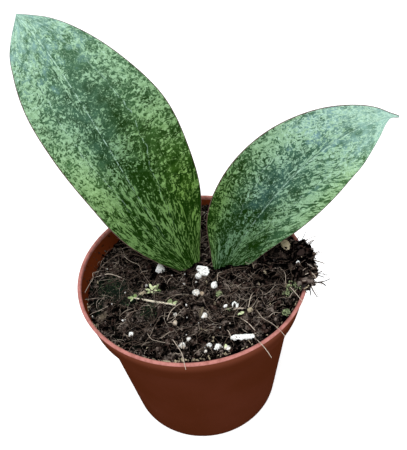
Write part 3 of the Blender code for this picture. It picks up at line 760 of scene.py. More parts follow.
# the stored shade is partly painted shade under the leaves and against the blades
paler_and_shaded, mossy, _ = split(tree, stored(tree, "shade", "Vector"))
tone = maths(tree, "ADD", stored(tree, "tone"), paler_and_shaded)
tone, grain = varied_tone(tree, place, tone, patchiness=3.0,
                          grain_scale=PEAT_GRAIN_SCALE, graininess=0.9)
colour = mix_colours(tree, step_up(tree, tone, 0.15, 0.75), PEAT_BLACK, PEAT_BROWN)
hue = cloud(tree, place, HUE_SCALE, detail=2.0)
reddish = step_up(tree, hue, 0.49, 0.63)
bluish = step_down(tree, hue, 0.30, 0.42)
for hue_colour, hue_share in ((PEAT_RED, reddish), (PEAT_BLUE, bluish)):
    hued = maths(tree, "MULTIPLY", hue_share, step_up(tree, tone, 0.2, 0.6))
    colour = mix_colours(tree, maths(tree, "MULTIPLY", hued, 0.7), colour, hue_colour)
colour = mix_colours(tree, step_up(tree, tone, 0.60, 1.20), colour, PEAT_PALE)
grown = maths(tree, "MULTIPLY_ADD", cloud(tree, place, MOSS_SCALE, detail=3.0), 1.4, -0.7)
grown = step_up(tree, maths(tree, "ADD", mossy, grown), 0.25, 0.85)
colour = mix_colours(tree, maths(tree, "MULTIPLY", grown, 0.6), colour, PEAT_MOSS)
finish_material(tree, shader, colour, grain, 0.25 * MM)

for piece, replaced in ((make_bed(), ("soil",)), (make_heap(), ())):
    # The bed and the clump get a low tone: dark peat, kept darker as painted shade in the gaps between the
    # crumbs on them
    waves = [noise.noise(Vector(point) / GROUND_TONE_SIZE) for point in points_of(piece)]
    set_values(piece, "tone", [0.18 + 0.5 * wave for wave in waves])
    shade_by_place(piece)
    finish_piece(piece, "potting_mix", *replaced)

rng = np.random.default_rng(11)
sizes = rng.uniform(*CRUMB_SIZES, CRUMB_COUNT) * MM
places = strewn_places(rng, CRUMB_COUNT, sizes)
is_pale = rng.uniform(size=CRUMB_COUNT) < PALE_CRUMBS
tones = np.where(is_pale, rng.uniform(0.6, 1.3, CRUMB_COUNT), rng.beta(1.2, 2.6, CRUMB_COUNT))
add_lumps("peat_crumbs", "potting_mix", peat, rng, places, sizes, tones,
          proportions=(1.3, 0.9, 0.7), unevenness=0.35, fineness=1)

sizes = rng.uniform(*CLOD_SIZES, CLOD_COUNT) * MM
places = strewn_places(rng, CLOD_COUNT, sizes, sunk=0.35)
keep = distance_to_feet(places) > CLOD_GAP
tones = rng.beta(1.4, 3.0, CLOD_COUNT)
add_lumps("peat_clods", "potting_mix", peat, rng, places[keep], sizes[keep], tones[keep],
          proportions=(1.1, 0.9, 0.7), unevenness=0.25, fineness=2)

sizes = rng.uniform(*CHUNK_SIZES, CHUNK_COUNT) * MM
places = places_on_heap(rng, CHUNK_COUNT)
tones = rng.beta(1.2, 3.0, CHUNK_COUNT)
add_lumps("clump_chunks", "potting_mix", peat, rng, places, sizes, tones,
          proportions=(1.5, 0.7, 0.4), unevenness=0.16, fineness=3)

sizes = rng.gamma(2.0, 0.14, WALL_CRUMB_COUNT) * MM + 0.20 * MM
places = places_on_wall(rng, sizes)
tones = rng.uniform(0.25, 0.60, WALL_CRUMB_COUNT)
add_lumps("wall_crumbs", "potting_mix", peat, rng, places, sizes, tones,
          proportions=(1.2, 0.9, 0.7), unevenness=0.3, fineness=2)

# Fibres
# Fine roots and coconut fibres run through the mix, brown to straw coloured. A few long ones
# lie on top in loose arcs, hang over the front lip and stick out of the clump at the right.

# Radii are in millimetres, from the thinnest to the thickest
FIBRE_COUNT = 2700
FIBRE_RADII = (0.035, 0.115)
FIBRE_STEPS = 10
FIBRE_START_REACH = 43.0 * MM    # how far from the middle the loose fibres start
FIBRE_REACH = 43.2 * MM          # and how far out they may lie, beside the clump
FIBRE_GAP = 1.2 * MM             # none lies nearer to a blade than this
STRAND_COUNT = 90                # coarse strands in the clump
STRAND_RADII = (0.06, 0.30)
FIBRE_GRAIN_SCALE = 1200.0       # waves a metre
FIBRE_DARK = (0.0080, 0.0060, 0.0050)
FIBRE_BROWN = (0.1250, 0.0850, 0.0640)
FIBRE_STRAW = (0.6200, 0.5200, 0.4200)
# Radius, height above the mix and tone of each long fibre, then its places in millimetres
LONG_FIBRES = (
    (0.14, 0.8, 0.62, ((-40.0, 8.0), (-37.0, 13.5), (-32.3, 17.5), (-28.0, 17.5), (-22.9, 15.5),
                       (-16.8, 10.9), (-11.9, 8.1), (-8.4, 4.7))),
    (0.13, 0.9, 0.90, ((-27.9, 17.0), (-24.7, 12.1), (-21.6, 9.3), (-20.3, 5.5))),
    (0.10, 0.9, 0.70, ((-20.3, 5.5), (-18.1, 0.0), (-16.5, -3.2))),
    (0.17, 0.7, 1.10, ((-39.6, 8.8), (-34.3, 7.6), (-31.3, 6.2), (-28.4, 4.9))),
    (0.12, 0.5, 0.95, ((-41.0, -12.4), (-39.3, -12.2), (-36.6, -11.4), (-33.5, -9.2))),
    (0.12, 0.6, 0.80, ((-27.4, -18.6), (-24.3, -16.1), (-18.9, -14.6))),
    (0.08, 0.6, 0.70, ((-16.6, -16.5), (-12.7, -14.9))),
    (0.15, 0.9, 1.00, ((-11.0, -22.8), (-8.7, -18.9), (-4.1, -15.0))),
    (0.13, 0.8, 0.95, ((-18.2, -26.5), (-16.7, -30.4), (-14.9, -32.1), (-7.7, -34.7))),
    (0.12, 0.5, 0.80, ((-27.0, -25.1), (-24.7, -26.9))),
    (0.13, 1.2, 0.85, ((-10.6, -5.4), (-9.2, -3.2), (-7.8, -1.1))),
    (0.12, 0.9, 0.65, ((-11.8, -0.6), (-8.9, -0.9), (-5.9, -3.9))),
    (0.11, 0.5, 0.65, ((-8.4, 3.6), (-5.6, 0.8), (-3.1, -0.9))),
    (0.13, 0.5, 0.60, ((7.5, -25.4), (13.3, -26.6), (16.2, -28.0))),
    (0.18, 0.8, 1.15, ((16.2, -28.2), (18.4, -31.2), (20.6, -34.4))),
    (0.14, 1.6, 1.00, ((19.4, -23.1), (20.8, -19.6), (22.3, -16.0))),
    (0.10, 0.9, 0.80, ((24.0, -21.0), (22.9, -22.4), (21.9, -24.0))),
    (0.09, 0.6, 0.55, ((33.8, -13.7), (30.9, -17.4), (27.6, -21.7))),
    (0.11, 0.5, 0.60, ((29.7, -21.2), (32.6, -21.4), (35.5, -21.9))),
    (0.11, 0.8, 0.85, ((25.5, -29.4), (28.0, -28.3), (30.6, -27.9))),
    (0.12, 0.7, 0.60, ((10.0, -16.9), (15.5, -15.5), (17.1, -12.9))),
    (0.16, 1.2, 0.95, ((9.3, -7.4), (9.9, -4.4), (11.6, -2.4))),
    (0.13, 0.9, 0.95, ((10.5, -31.9), (11.2, -33.9), (12.0, -36.2))),
    (0.10, 0.5, 0.60, ((0.3, -32.6), (2.4, -30.8), (4.5, -29.0))),
    (0.10, 0.7, 0.50, ((27.8, -2.5), (29.9, -5.5), (30.0, -9.6))),
    (0.10, 0.5, 0.80, ((21.3, -6.6), (22.2, -8.3), (23.4, -10.1))),
    (0.12, 0.7, 0.80, ((40.3, -12.2), (42.0, -10.8), (44.2, -9.0))),
    (0.28, 0.5, 1.30, ((13.7, -23.0), (16.0, -23.3), (18.4, -23.3))),
)
# The same for fibres that leave the mix: their own heights come with the places
FREE_FIBRES = (
    (0.15, 1.00, ((-8.7, -33.0, 71.6), (-7.2, -36.5, 72.4), (-5.6, -41.0, 73.6),
                  (-5.1, -44.1, 72.9), (-4.8, -45.3, 70.4))),
    (0.15, 0.90, ((20.6, -38.4, 73.6), (22.4, -42.0, 74.2), (23.9, -45.6, 74.3), (24.4, -46.6, 73.8))),
    (0.12, 0.85, ((22.1, -25.5, 73.9), (23.8, -29.6, 74.2), (26.6, -32.6, 74.4),
                  (29.0, -35.9, 74.2), (30.4, -38.5, 73.8))),
    (0.13, 1.00, ((35.7, -16.8, 74.6), (37.1, -20.4, 75.0), (38.6, -23.6, 74.6), (39.8, -25.8, 74.0))),
    (0.13, 0.90, ((-42.3, -3.9, 69.2), (-41.6, 3.3, 66.0), (-40.3, 6.2, 66.0),
                  (-40.5, 9.0, 66.2), (-38.1, 9.6, 66.2))),
    (0.10, 0.85, ((-42.1, -7.4, 69.0), (-40.4, -5.1, 66.4), (-37.4, -5.6, 67.0), (-34.9, -6.4, 67.0))),
    (0.12, 0.55, ((44.0, 4.5, 75.0), (48.4, 7.2, 75.4), (52.0, 8.2, 74.6))),
    (0.14, 0.30, ((43.5, 5.0, 75.6), (45.9, 8.4, 76.6), (46.2, 11.2, 76.0))),
    (0.08, 0.55, ((46.0, -8.4, 75.0), (48.2, -10.4, 74.6), (50.9, -13.6, 73.6), (52.7, -16.1, 72.6))),
    (0.07, 0.60, ((45.4, -14.8, 74.0), (47.4, -16.3, 73.6), (50.0, -18.2, 72.6), (51.7, -19.6, 72.0))),
    (0.07, 0.60, ((44.4, -17.2, 73.6), (45.4, -19.4, 72.0), (46.1, -21.4, 70.4))),
    (0.17, 0.05, ((43.6, -14.6, 74.0), (45.6, -15.5, 74.4), (47.4, -15.8, 74.0))),
    (0.30, 0.05, ((47.2, -15.7, 74.1), (48.2, -16.3, 73.8), (49.0, -17.0, 73.4))),
    (0.12, 0.45, ((46.0, -4.0, 75.4), (49.2, -2.6, 76.4), (50.6, -1.6, 75.4))),
    (0.10, 1.10, ((41.5, -9.0, 76.0), (43.5, -8.0, 76.6), (46.0, -9.5, 75.4))),
    (0.12, 1.20, ((42.0, -12.5, 75.8), (44.5, -12.0, 75.8), (46.6, -14.0, 74.2))),
    (0.10, 1.00, ((43.0, -10.0, 76.0), (45.5, -13.0, 75.2), (45.6, -17.0, 73.4))),
    (0.09, 1.20, ((40.5, -15.0, 75.2), (43.0, -15.5, 75.0), (44.8, -18.0, 73.2))),
    (0.10, 0.90, ((46.6, -7.0, 75.0), (47.6, -9.0, 73.8), (47.2, -12.5, 72.8))),
)


def curve_through(corners, steps):
    """A smooth curve through the corners, as Catmull and Rom draw it."""
    corners = np.asarray(corners, float)
    padded = np.vstack((2 * corners[0] - corners[1], corners, 2 * corners[-1] - corners[-2]))
    path = []
    for index in range(len(corners) - 1):
        a, b, c, d = padded[index:index + 4]
        for t in np.arange(steps) / steps:
            path.append(0.5 * (2 * b + (c - a) * t + (2 * a - 5 * b + 4 * c - d) * t * t
                               + (3 * b - a - 3 * c + d) * t ** 3))
    path.append(corners[-1])
    return np.array(path)


def tube_mesh(path, radii, sides):
    """A tube with flat ends along a path of points."""
    along = np.gradient(path, axis=0)
    along /= np.linalg.norm(along, axis=1)[:, None]
    span = path[-1] - path[0]
    steep = abs(span[2]) > 0.8 * np.linalg.norm(span)
    aside = np.array((1.0, 0.0, 0.0)) if steep else np.array((0.0, 0.0, 1.0))
    across = np.cross(along, aside)
    across /= np.linalg.norm(across, axis=1)[:, None]
    upward = np.cross(across, along)
    rings = []
    for centre, side, up, radius in zip(path, across, upward, radii):
        rings.append([centre + radius * (math.cos(turn) * side - math.sin(turn) * up)
                      for turn in 2 * math.pi * np.arange(sides) / sides])
    return loft(rings)


def add_tubes(name, slot, material, tubes, *replaced):
    """Add several tubes or other bodies as one piece, each with its own tone."""
    points = []
    faces = []
    values = []
    for (tube_points, tube_faces), tone in tubes:
        faces += [tuple(len(points) + corner for corner in face) for face in tube_faces]
        points += list(tube_points)
        values += [tone] * len(tube_points)
    piece = make_piece(name, points, faces, material)
    set_values(piece, "tone", values)
    shade_by_place(piece)
    finish_piece(piece, slot, *replaced)


def long_fibre(corners, radius):
    """A fibre through the corners that thins out to its end. Its radius is in millimetres."""
    path = curve_through(corners, steps=8)
    return tube_mesh(path, radius * MM * np.linspace(1.0, 0.6, len(path)), sides=6)


def loose_fibre(rng):
    """The path of a short fibre that wanders over the mix, or nothing where it would leave it."""
    radius = FIBRE_START_REACH * math.sqrt(rng.uniform())
    start_angle = rng.uniform(0, 2 * math.pi)
    x = radius * math.cos(start_angle)
    y = radius * math.sin(start_angle)
    length = rng.gamma(3.0, 1.9) * MM + 1.5 * MM
    heading = rng.uniform(0, 2 * math.pi)
    bend = rng.normal(0, 1.2) / FIBRE_STEPS
    arch = rng.gamma(1.5, 0.40) * MM
    tilt = rng.normal(0, 0.2)
    path = []
    for step in range(FIBRE_STEPS + 1):
        share = step / FIBRE_STEPS
        if math.hypot(x, y) > FIBRE_REACH and not heap_height(x, y):
            return None
        lift = 0.15 * MM + arch * math.sin(math.pi * min(share * 1.15, 1.0)) + tilt * share * length
        path.append((x, y, top_height(x, y) + max(lift, -0.1 * MM)))
        heading += bend + rng.normal(0, 0.18)
        x += length / FIBRE_STEPS * math.cos(heading)
        y += length / FIBRE_STEPS * math.sin(heading)
    path = np.array(path)
    return path if distance_to_feet(path).min() > FIBRE_GAP else None


def clump_strand(rng, start):
    """The path of a coarse strand that follows the clump and may stick out beyond it."""
    heading = math.atan2(start[1], start[0]) + rng.normal(0, 1.2)
    length = rng.uniform(2.5, 7.0) * MM
    bend = rng.normal(0, 0.8) / FIBRE_STEPS
    x, y, height = start
    path = []
    for step in range(FIBRE_STEPS + 1):
        path.append((x, y, height))
        x += length / FIBRE_STEPS * math.cos(heading)
        y += length / FIBRE_STEPS * math.sin(heading)
        heading += bend
        height = max(top_height(x, y) + 0.1 * MM, height + rng.normal(-0.05, 0.1) * MM)
    return np.array(path)


fibre, tree, shader = start_material("fibre", roughness=0.75, specular=0.12)
# the stored shade is partly painted shade under the leaves and against the blades
paler_and_shaded = split(tree, stored(tree, "shade", "Vector"))[0]
tone = maths(tree, "MULTIPLY_ADD", paler_and_shaded, 0.4, stored(tree, "tone"))
tone, grain = varied_tone(tree, object_place(tree), tone, patchiness=0.8,
                          grain_scale=FIBRE_GRAIN_SCALE, graininess=0.4)
brown = mix_colours(tree, step_up(tree, tone, 0.05, 0.55), FIBRE_DARK, FIBRE_BROWN)
colour = mix_colours(tree, step_up(tree, tone, 0.55, 1.1), brown, FIBRE_STRAW)
finish_material(tree, shader, colour, grain, 0.05 * MM)

rng = np.random.default_rng(23)
tubes = []
while len(tubes) < FIBRE_COUNT:
    path = loose_fibre(rng)
    if path is not None:
        radii = rng.uniform(*FIBRE_RADII) * MM * np.linspace(1.0, 0.45, len(path))
        tubes.append((tube_mesh(path, radii, sides=3), rng.beta(1.1, 1.9) * 1.15))
add_tubes("fine_fibres", "potting_mix", fibre, tubes)

tubes = []
for radius, lift, tone, corners in LONG_FIBRES:
    heights = np.full(len(corners), 0.3)
    heights[1:-1] = lift + 0.5
    raised = []
    for (x, y), above in zip(corners, heights):
        raised.append((x * MM, y * MM, top_height(x * MM, y * MM) + above * MM))
    tubes.append((long_fibre(raised, radius), tone))
for radius, tone, corners in FREE_FIBRES:
    tubes.append((long_fibre(np.array(corners) * MM, radius), tone))
for start in places_on_heap(rng, STRAND_COUNT):
    path = clump_strand(rng, start)
    radii = rng.uniform(*STRAND_RADII) * MM * np.linspace(1.0, 0.5, len(path))
    tubes.append((tube_mesh(path, radii, sides=5), rng.beta(1.0, 2.2)))
add_tubes("long_fibres", "potting_mix", fibre, tubes)

# Perlite
# White puffed mineral crumbs with broken faces and pits, and a long grainy splinter, pressed
# into the mix. Small grains lie everywhere, and damp has stained some of them.

PERLITE_CRUMBS = 13              # each stands for a solid of its own
GRAIN_COUNT = 60
GRAIN_SIZES = (0.3, 0.75)
# Noise scales, in waves a metre
PIT_SHADE_SCALE = 1500.0
STAIN_SCALE = 900.0
ROUGH_SCALE = 1800.0
PERLITE_WHITE = (0.93, 0.93, 0.90)
# grey of painted shade in the pits
PERLITE_PIT_SHADE = (0.22, 0.20, 0.17)
PERLITE_STAINED = (0.50, 0.38, 0.26)
BROKEN_FACES = 11
FACE_SHARPNESS = 14.0            # how sharp the edges between the broken faces are
CRUMB_PITS = 0.13
# How clean the crumbs are that aren't white
CRUMB_TONES = {4: 0.68, 5: 0.75, 6: 0.80, 8: 0.80, 10: 0.70, 11: 0.70}
# The splinter's ends, in millimetres
SHARD_ENDS = ((11.6, -36.0), (19.9, -37.0))
SHARD_RADIUS = 1.0 * MM
SHARD_STEPS = 60
SHARD_SIDES = 28
SHARD_GRAIN = 0.16
# Places in millimetres, sizes and tones of the small grains that show most
BRIGHT_GRAINS = (
    (-26.9, -4.2, 0.9, 1.0), (-27.4, -18.6, 1.1, 1.0), (-39.4, -13.3, 0.9, 0.7), (-18.5, -2.6, 1.2, 1.0),
    (-7.5, -20.6, 1.3, 0.5), (-7.7, -24.4, 1.8, 0.5), (-3.0, -33.3, 1.6, 0.7), (-2.8, -0.1, 1.1, 0.8),
    (-3.5, -5.8, 0.9, 0.8), (-3.3, -17.3, 1.0, 0.9), (2.5, -39.6, 1.1, 0.6), (2.3, -3.4, 2.5, 1.0),
    (7.5, -10.9, 1.4, 0.6), (3.1, -12.3, 1.6, 0.3), (8.4, -39.4, 1.0, 0.9), (1.2, -5.9, 0.8, 0.8),
)


def broken_radius(rng, units):
    """Radius in each direction of a lump with flat broken faces."""
    facing = rng.normal(size=(BROKEN_FACES, 3))
    facing /= np.linalg.norm(facing, axis=1)[:, None]
    reach = rng.uniform(0.62, 1.0, BROKEN_FACES)
    nearness = np.maximum(units @ facing.T, 0.0) / reach
    radius = np.minimum((nearness ** FACE_SHARPNESS).sum(axis=1) ** (-1 / FACE_SHARPNESS), 1.2)
    return radius / radius.mean()


def perlite_crumb(number, node):
    """A puffed crumb in the place and size of its solid."""
    low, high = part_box(node)
    centre = np.array((low + high) / 2)
    radius = (high - low).length / 2 / math.sqrt(3)
    units, faces = ball(fineness=5)
    uneven = broken_radius(np.random.default_rng(100 + number), units)
    for index, unit in enumerate(units):
        spot = Vector(unit) + Vector((7.0 * number, 0, 0))
        uneven[index] += CRUMB_PITS * noise.noise(spot * 4.0)
        uneven[index] -= 1.3 * CRUMB_PITS * max(noise.noise(spot * 9.0), 0.0)
    crumb = make_piece(node + "_crumb", centre + units * (radius * uneven)[:, None], faces, perlite)
    set_values(crumb, "tone", np.full(len(units), CRUMB_TONES.get(number, 1.0)))
    return crumb


perlite, tree, shader = start_material("perlite", roughness=0.9, specular=0.2)
place = object_place(tree)
# grey patches of painted shade stand for the shade in the pits
pit_shade = step_up(tree, cloud(tree, place, PIT_SHADE_SCALE, detail=3.0, roughness=0.6), 0.54, 0.68)
colour = mix_colours(tree, pit_shade, PERLITE_WHITE, PERLITE_PIT_SHADE)
damp = maths(tree, "SUBTRACT", 1.0, stored(tree, "tone"))
damp = varied_tone(tree, place, damp, patchiness=1.0, grain_scale=STAIN_SCALE, graininess=0.8)[0]
colour = mix_colours(tree, step_up(tree, damp, 0.15, 0.75), colour, PERLITE_STAINED)
pits = cloud(tree, place, ROUGH_SCALE, detail=4.0, roughness=0.6)
finish_material(tree, shader, colour, pits, 0.25 * MM)

for number in range(1, PERLITE_CRUMBS + 1):
    node = f"perlite_{number:02d}"
    finish_piece(perlite_crumb(number, node), "perlite", node)


def on_soil(place, above):
    """The point this far above the mix, for a place on the plan in millimetres."""
    x = place[0] * MM
    y = place[1] * MM
    return np.array((x, y, top_height(x, y) + above))


def make_shard():
    """A white splinter, blunt at the right, with a grainy skin."""
    start = on_soil(SHARD_ENDS[0], 0.5 * SHARD_RADIUS)
    end = on_soil(SHARD_ENDS[1], 0.5 * SHARD_RADIUS)
    shares = np.linspace(0, 1, SHARD_STEPS + 1)
    path = start + shares[:, None] * (end - start)
    blunt = np.minimum(1.0, np.minimum(0.45 + 4.0 * shares, 0.5 + 9.0 * (1 - shares)))
    radii = SHARD_RADIUS * (1.08 - 0.12 * shares) * blunt
    points, faces = tube_mesh(path, radii, SHARD_SIDES)
    grainy = []
    for index, point in enumerate(points):
        centre = path[index // SHARD_SIDES]
        rough = 1.0 + SHARD_GRAIN * noise.noise(Vector(point) / (0.9 * MM))
        rough += 0.6 * SHARD_GRAIN * noise.noise(Vector(point) / (0.4 * MM))
        grainy.append(centre + rough * (point - centre))
    shard = make_piece("perlite_splinter", grainy, faces, perlite)
    set_values(shard, "tone", np.full(len(points), 1.0))
    return shard


finish_piece(make_shard(), "perlite", "perlite_shard")

rng = np.random.default_rng(37)
sizes = rng.uniform(*GRAIN_SIZES, GRAIN_COUNT) * MM
places = strewn_places(rng, GRAIN_COUNT, sizes, sunk=-0.1)
bright = np.array([on_soil(grain[:2], 0.3 * grain[2] * MM) for grain in BRIGHT_GRAINS])
places = np.vstack((places, bright))
sizes = np.concatenate((sizes, [grain[2] * MM for grain in BRIGHT_GRAINS]))
tones = np.concatenate((rng.uniform(0.4, 1.0, GRAIN_COUNT), [grain[3] for grain in BRIGHT_GRAINS]))
add_lumps("perlite_grains", "perlite", perlite, rng, places, sizes, tones,
          proportions=(1.0, 0.9, 0.8), unevenness=0.10, fineness=3)

# Sprig, bark and moss
# A dry straw-coloured sprig with small leaflets lies at the left, a beige bark chip is wedged
# in the clump, bits of bark and debris lie about, and moss has started in a few places.

SPRIG_ENDS = ((-23.5, -8.2), (-7.2, -16.0))
SPRIG_RADIUS = 0.36 * MM
SPRIG_RISE = 0.5 * MM
STALK_TONE = -1.0                # tells the material that this is the stalk
# Length, width and thickness of a leaflet in millimetres
SPRIG_LEAFLET = (2.3, 1.3, 0.6)
# Where along the stalk each leaflet grows, and how it turns away from the stalk in degrees
SPRIG_LEAFLETS = ((0.0, 165), (0.03, 105), (0.05, -120), (0.82, -75), (0.88, -110), (0.93, -50))
# Loose leaflets: place, length, heading in degrees, upward slope and tone
LOOSE_LEAFLETS = (
    (-16.4, -4.9, 2.0, 110, 0.7, 0.95), (-15.8, -5.2, 1.7, 35, 0.5, 0.85),
    (-16.9, -5.6, 1.9, 175, 0.3, 0.9), (-16.9, -6.4, 1.8, 228, 0.3, 0.55),
    (-16.2, -6.5, 1.6, 275, 0.5, 1.05), (-15.4, -6.0, 1.7, 320, 0.3, 0.75),
    (-14.4, -5.4, 1.8, 60, 0.3, 0.35), (-14.0, -6.6, 1.7, 345, 0.1, 0.2),
    (-16.2, -5.8, 1.6, 60, 1.2, 1.1), (15.4, -26.2, 2.4, 15, 0.2, 0.9),
    (9.4, -40.4, 2.0, 80, 0.5, 0.7),
)
# Scales of the grain, in waves a metre
STRAW_GRAIN_SCALE = 800.0
BARK_GRAIN_SCALE = 700.0
MOSS_GRAIN_SCALE = 900.0
STALK_STRAW = (0.80, 0.72, 0.56)
LEAFLET_GREEN = (0.18, 0.27, 0.09)
LEAFLET_PALE = (0.66, 0.72, 0.42)
CHIP_PLACE = (38.1, 4.9)
CHIP_SIZE = (5.8, 3.2, 2.0)
CHIP_RISE = 0.8 * MM
CHIP_LENGTHWISE = Vector((-0.45, 0.85, 0.3)).normalized()
CHIP_UPWARD = Vector((-0.45, -0.2, 0.9))
CHIP_TONE = 1.40
BARK_STRETCH = (3.0, 0.6, 2.0)   # draws the grain out along Y
BARK_BEIGE = (0.44, 0.37, 0.25)
BARK_BROWN = (0.018, 0.010, 0.008)
# Bits of bark: place, heading in degrees, length, width and thickness, and tone
BARK_BITS = (
    (-19.9, -6.4, 12, 2.9, 1.4, 0.6, 1.05), (19.8, -24.9, 20, 2.1, 1.8, 1.4, 0.80),
    (5.4, -34.9, 10, 3.4, 1.8, 0.6, 0.85), (38.0, -7.8, 95, 7.0, 2.1, 0.9, 0.20),
    (42.4, -2.4, 40, 3.8, 2.8, 2.0, 0.05), (-35.1, -14.9, 35, 4.4, 3.0, 0.9, 0.34),
    (40.8, 3.2, 60, 5.2, 2.0, 1.2, 0.15), (36.0, 0.6, 130, 4.6, 1.8, 1.0, 0.12),
    (2.6, -30.2, 150, 3.0, 1.2, 0.5, 0.55), (43.5, -12.0, 110, 2.2, 0.5, 0.3, 1.20),
    (44.2, -13.6, 70, 2.0, 0.7, 0.4, 1.30), (42.4, -14.6, 95, 2.4, 0.5, 0.3, 1.10),
    (42.6, -16.6, 60, 1.8, 0.6, 0.4, 1.30), (43.6, -10.2, 130, 1.8, 0.4, 0.3, 1.00),
    (41.6, -17.6, 20, 2.0, 0.5, 0.3, 0.90),
)
FLAKE_COUNT = 130
FLAKE_GAP = 2.4 * MM             # none lies nearer to a blade than this
DEBRIS_COUNT = 240               # small bits in the furrow along the lip
DEBRIS_SECTOR = (math.radians(-178), math.radians(-10))
MOSS_DARK = (0.026, 0.050, 0.020)
MOSS_PALE = (0.400, 0.460, 0.240)
# Tufts of moss: place, radius and height in millimetres, number of leaflets and tone
MOSS_TUFTS = (
    (9.4, -14.9, 1.2, 1.6, 70, 0.62), (32.2, -28.8, 1.4, 1.9, 80, 0.40), (36.8, -16.6, 3.0, 0.8, 58, 0.48),
    (33.8, -19.4, 1.4, 0.8, 30, 0.50), (-14.2, -7.0, 1.8, 0.4, 24, 0.25), (-33.0, 1.0, 5.5, 0.3, 70, 0.02),
    (-24.0, -8.0, 4.0, 0.3, 40, 0.05), (-17.5, -16.5, 3.6, 0.3, 40, 0.08), (12.4, -23.2, 0.9, 0.5, 12, 0.5),
)


def leaflet(root, outward, size):
    """One small cupped oval leaf that grows outwards from its root."""
    length, width, thickness = size
    outward = np.asarray(outward, float)
    outward = outward / np.linalg.norm(outward)
    across = np.cross(outward, (0, 0, 1))
    across /= np.linalg.norm(across)
    upward = np.cross(across, outward)
    units, faces = ball(fineness=3)
    cupped = units[:, 2] + 0.8 * (units[:, 1] ** 2 - 0.3)
    points = root + 0.45 * length * outward + units[:, :1] * (0.55 * length) * outward
    points = points + units[:, 1:2] * (width / 2) * across + cupped[:, None] * (thickness / 2) * upward
    return points, faces.tolist()


def make_sprig():
    """Add the sprig: its stalk and its leaflets."""
    start = on_soil(SPRIG_ENDS[0], SPRIG_RISE)
    end = on_soil(SPRIG_ENDS[1], SPRIG_RISE)
    shares = np.linspace(0, 1, 15)
    path = start + shares[:, None] * (end - start)
    path[:, 2] += 0.12 * MM * np.sin(9 * shares)
    stalk = tube_mesh(path, SPRIG_RADIUS * (1.0 - 0.2 * np.cos(6 * shares)), sides=10)
    tubes = [(stalk, STALK_TONE)]
    along = (end - start) / np.linalg.norm(end - start)
    sideways = np.cross(along, (0, 0, 1))
    size = [value * MM for value in SPRIG_LEAFLET]
    for share, turn_angle in SPRIG_LEAFLETS:
        turn = math.radians(turn_angle)
        outward = math.cos(turn) * along + math.sin(turn) * sideways + np.array((0, 0, 0.2))
        grown = leaflet(start + share * (end - start), outward, size)
        tubes.append((grown, 0.30 + 0.5 * share + 0.3 * math.sin(turn)))
    add_tubes("straw_sprig", "dry_sprig", straw, tubes, "dry_sprig")


straw, tree, shader = start_material("straw", roughness=0.7, specular=0.2)
place = object_place(tree)
tone, grain = varied_tone(tree, place, stored(tree, "tone"), grain_scale=STRAW_GRAIN_SCALE, graininess=0.9)
colour = mix_colours(tree, step_up(tree, tone, 0.1, 1.0), LEAFLET_GREEN, LEAFLET_PALE)
is_leaf = step_up(tree, stored(tree, "tone"), STALK_TONE + 0.4, STALK_TONE + 0.6)
colour = mix_colours(tree, is_leaf, STALK_STRAW, colour)
finish_material(tree, shader, colour, grain, 0.08 * MM)
make_sprig()

tubes = []
for x, y, length, heading, slope, tone in LOOSE_LEAFLETS:
    turn = math.radians(heading)
    size = (length * MM, 0.5 * length * MM, 0.25 * length * MM)
    lying = leaflet(on_soil((x, y), SPRIG_RISE), (math.cos(turn), math.sin(turn), slope), size)
    tubes.append((lying, tone))
add_tubes("loose_leaflets", "dry_sprig", straw, tubes)

bark, tree, shader = start_material("bark", roughness=0.85, specular=0.12)
inputs = {"Vector": object_place(tree), "Scale": BARK_STRETCH}
stretched = add_node(tree, "ShaderNodeMapping", inputs).outputs[0]
tone, grain = varied_tone(tree, stretched, stored(tree, "tone"), grain_scale=BARK_GRAIN_SCALE, graininess=0.9)
colour = mix_colours(tree, step_up(tree, tone, 0.1, 1.0), BARK_BROWN, BARK_BEIGE)
finish_material(tree, shader, colour, grain, 0.25 * MM)


def bark_bit(centre, lengthwise, upward, size, seed):
    """A rounded block of bark with an uneven surface."""
    across = lengthwise.cross(upward).normalized()
    upward = across.cross(lengthwise)
    points = []
    units, faces = ball(fineness=4)
    for unit in units:
        unit = Vector(unit)
        square = Vector([math.copysign(abs(value) ** 0.75, value) for value in unit])
        square *= 1.0 + 0.2 * noise.noise(unit * 3.0 + Vector((seed, 0, 0)))
        offset = square.x * size[0] / 2 * lengthwise + square.y * size[1] / 2 * across
        points.append(np.array(Vector(centre) + offset + square.z * size[2] / 2 * upward))
    return points, faces.tolist()


size = [value * MM for value in CHIP_SIZE]
chip = bark_bit(on_soil(CHIP_PLACE, CHIP_RISE), CHIP_LENGTHWISE, CHIP_UPWARD, size, seed=0.0)
add_tubes("beige_bark_chip", "bark_chip", bark, [(chip, CHIP_TONE)], "bark_chip")

tubes = []
for number, (x, y, heading, length, width, thickness, tone) in enumerate(BARK_BITS, 1):
    turn = math.radians(heading)
    size = (length * MM, width * MM, thickness * MM)
    centre = on_soil((x, y), 0.3 * thickness * MM)
    lengthwise = Vector((math.cos(turn), math.sin(turn), 0.08)).normalized()
    bit = bark_bit(centre, lengthwise, Vector((0.1, -0.2, 1.0)), size, seed=5.0 * number)
    tubes.append((bit, tone))
add_tubes("bark_bits", "bark_chip", bark, tubes)

rng = np.random.default_rng(41)
sizes = rng.gamma(3.0, 0.30, FLAKE_COUNT) * MM + 0.6 * MM
places = strewn_places(rng, FLAKE_COUNT, sizes, sunk=0.3)
keep = distance_to_feet(places) > FLAKE_GAP
tones = rng.beta(1.1, 2.6, FLAKE_COUNT)
add_lumps("bark_flakes", "bark_chip", bark, rng, places[keep], sizes[keep], tones[keep],
          proportions=(1.7, 0.6, 0.22), unevenness=0.18, fineness=2)

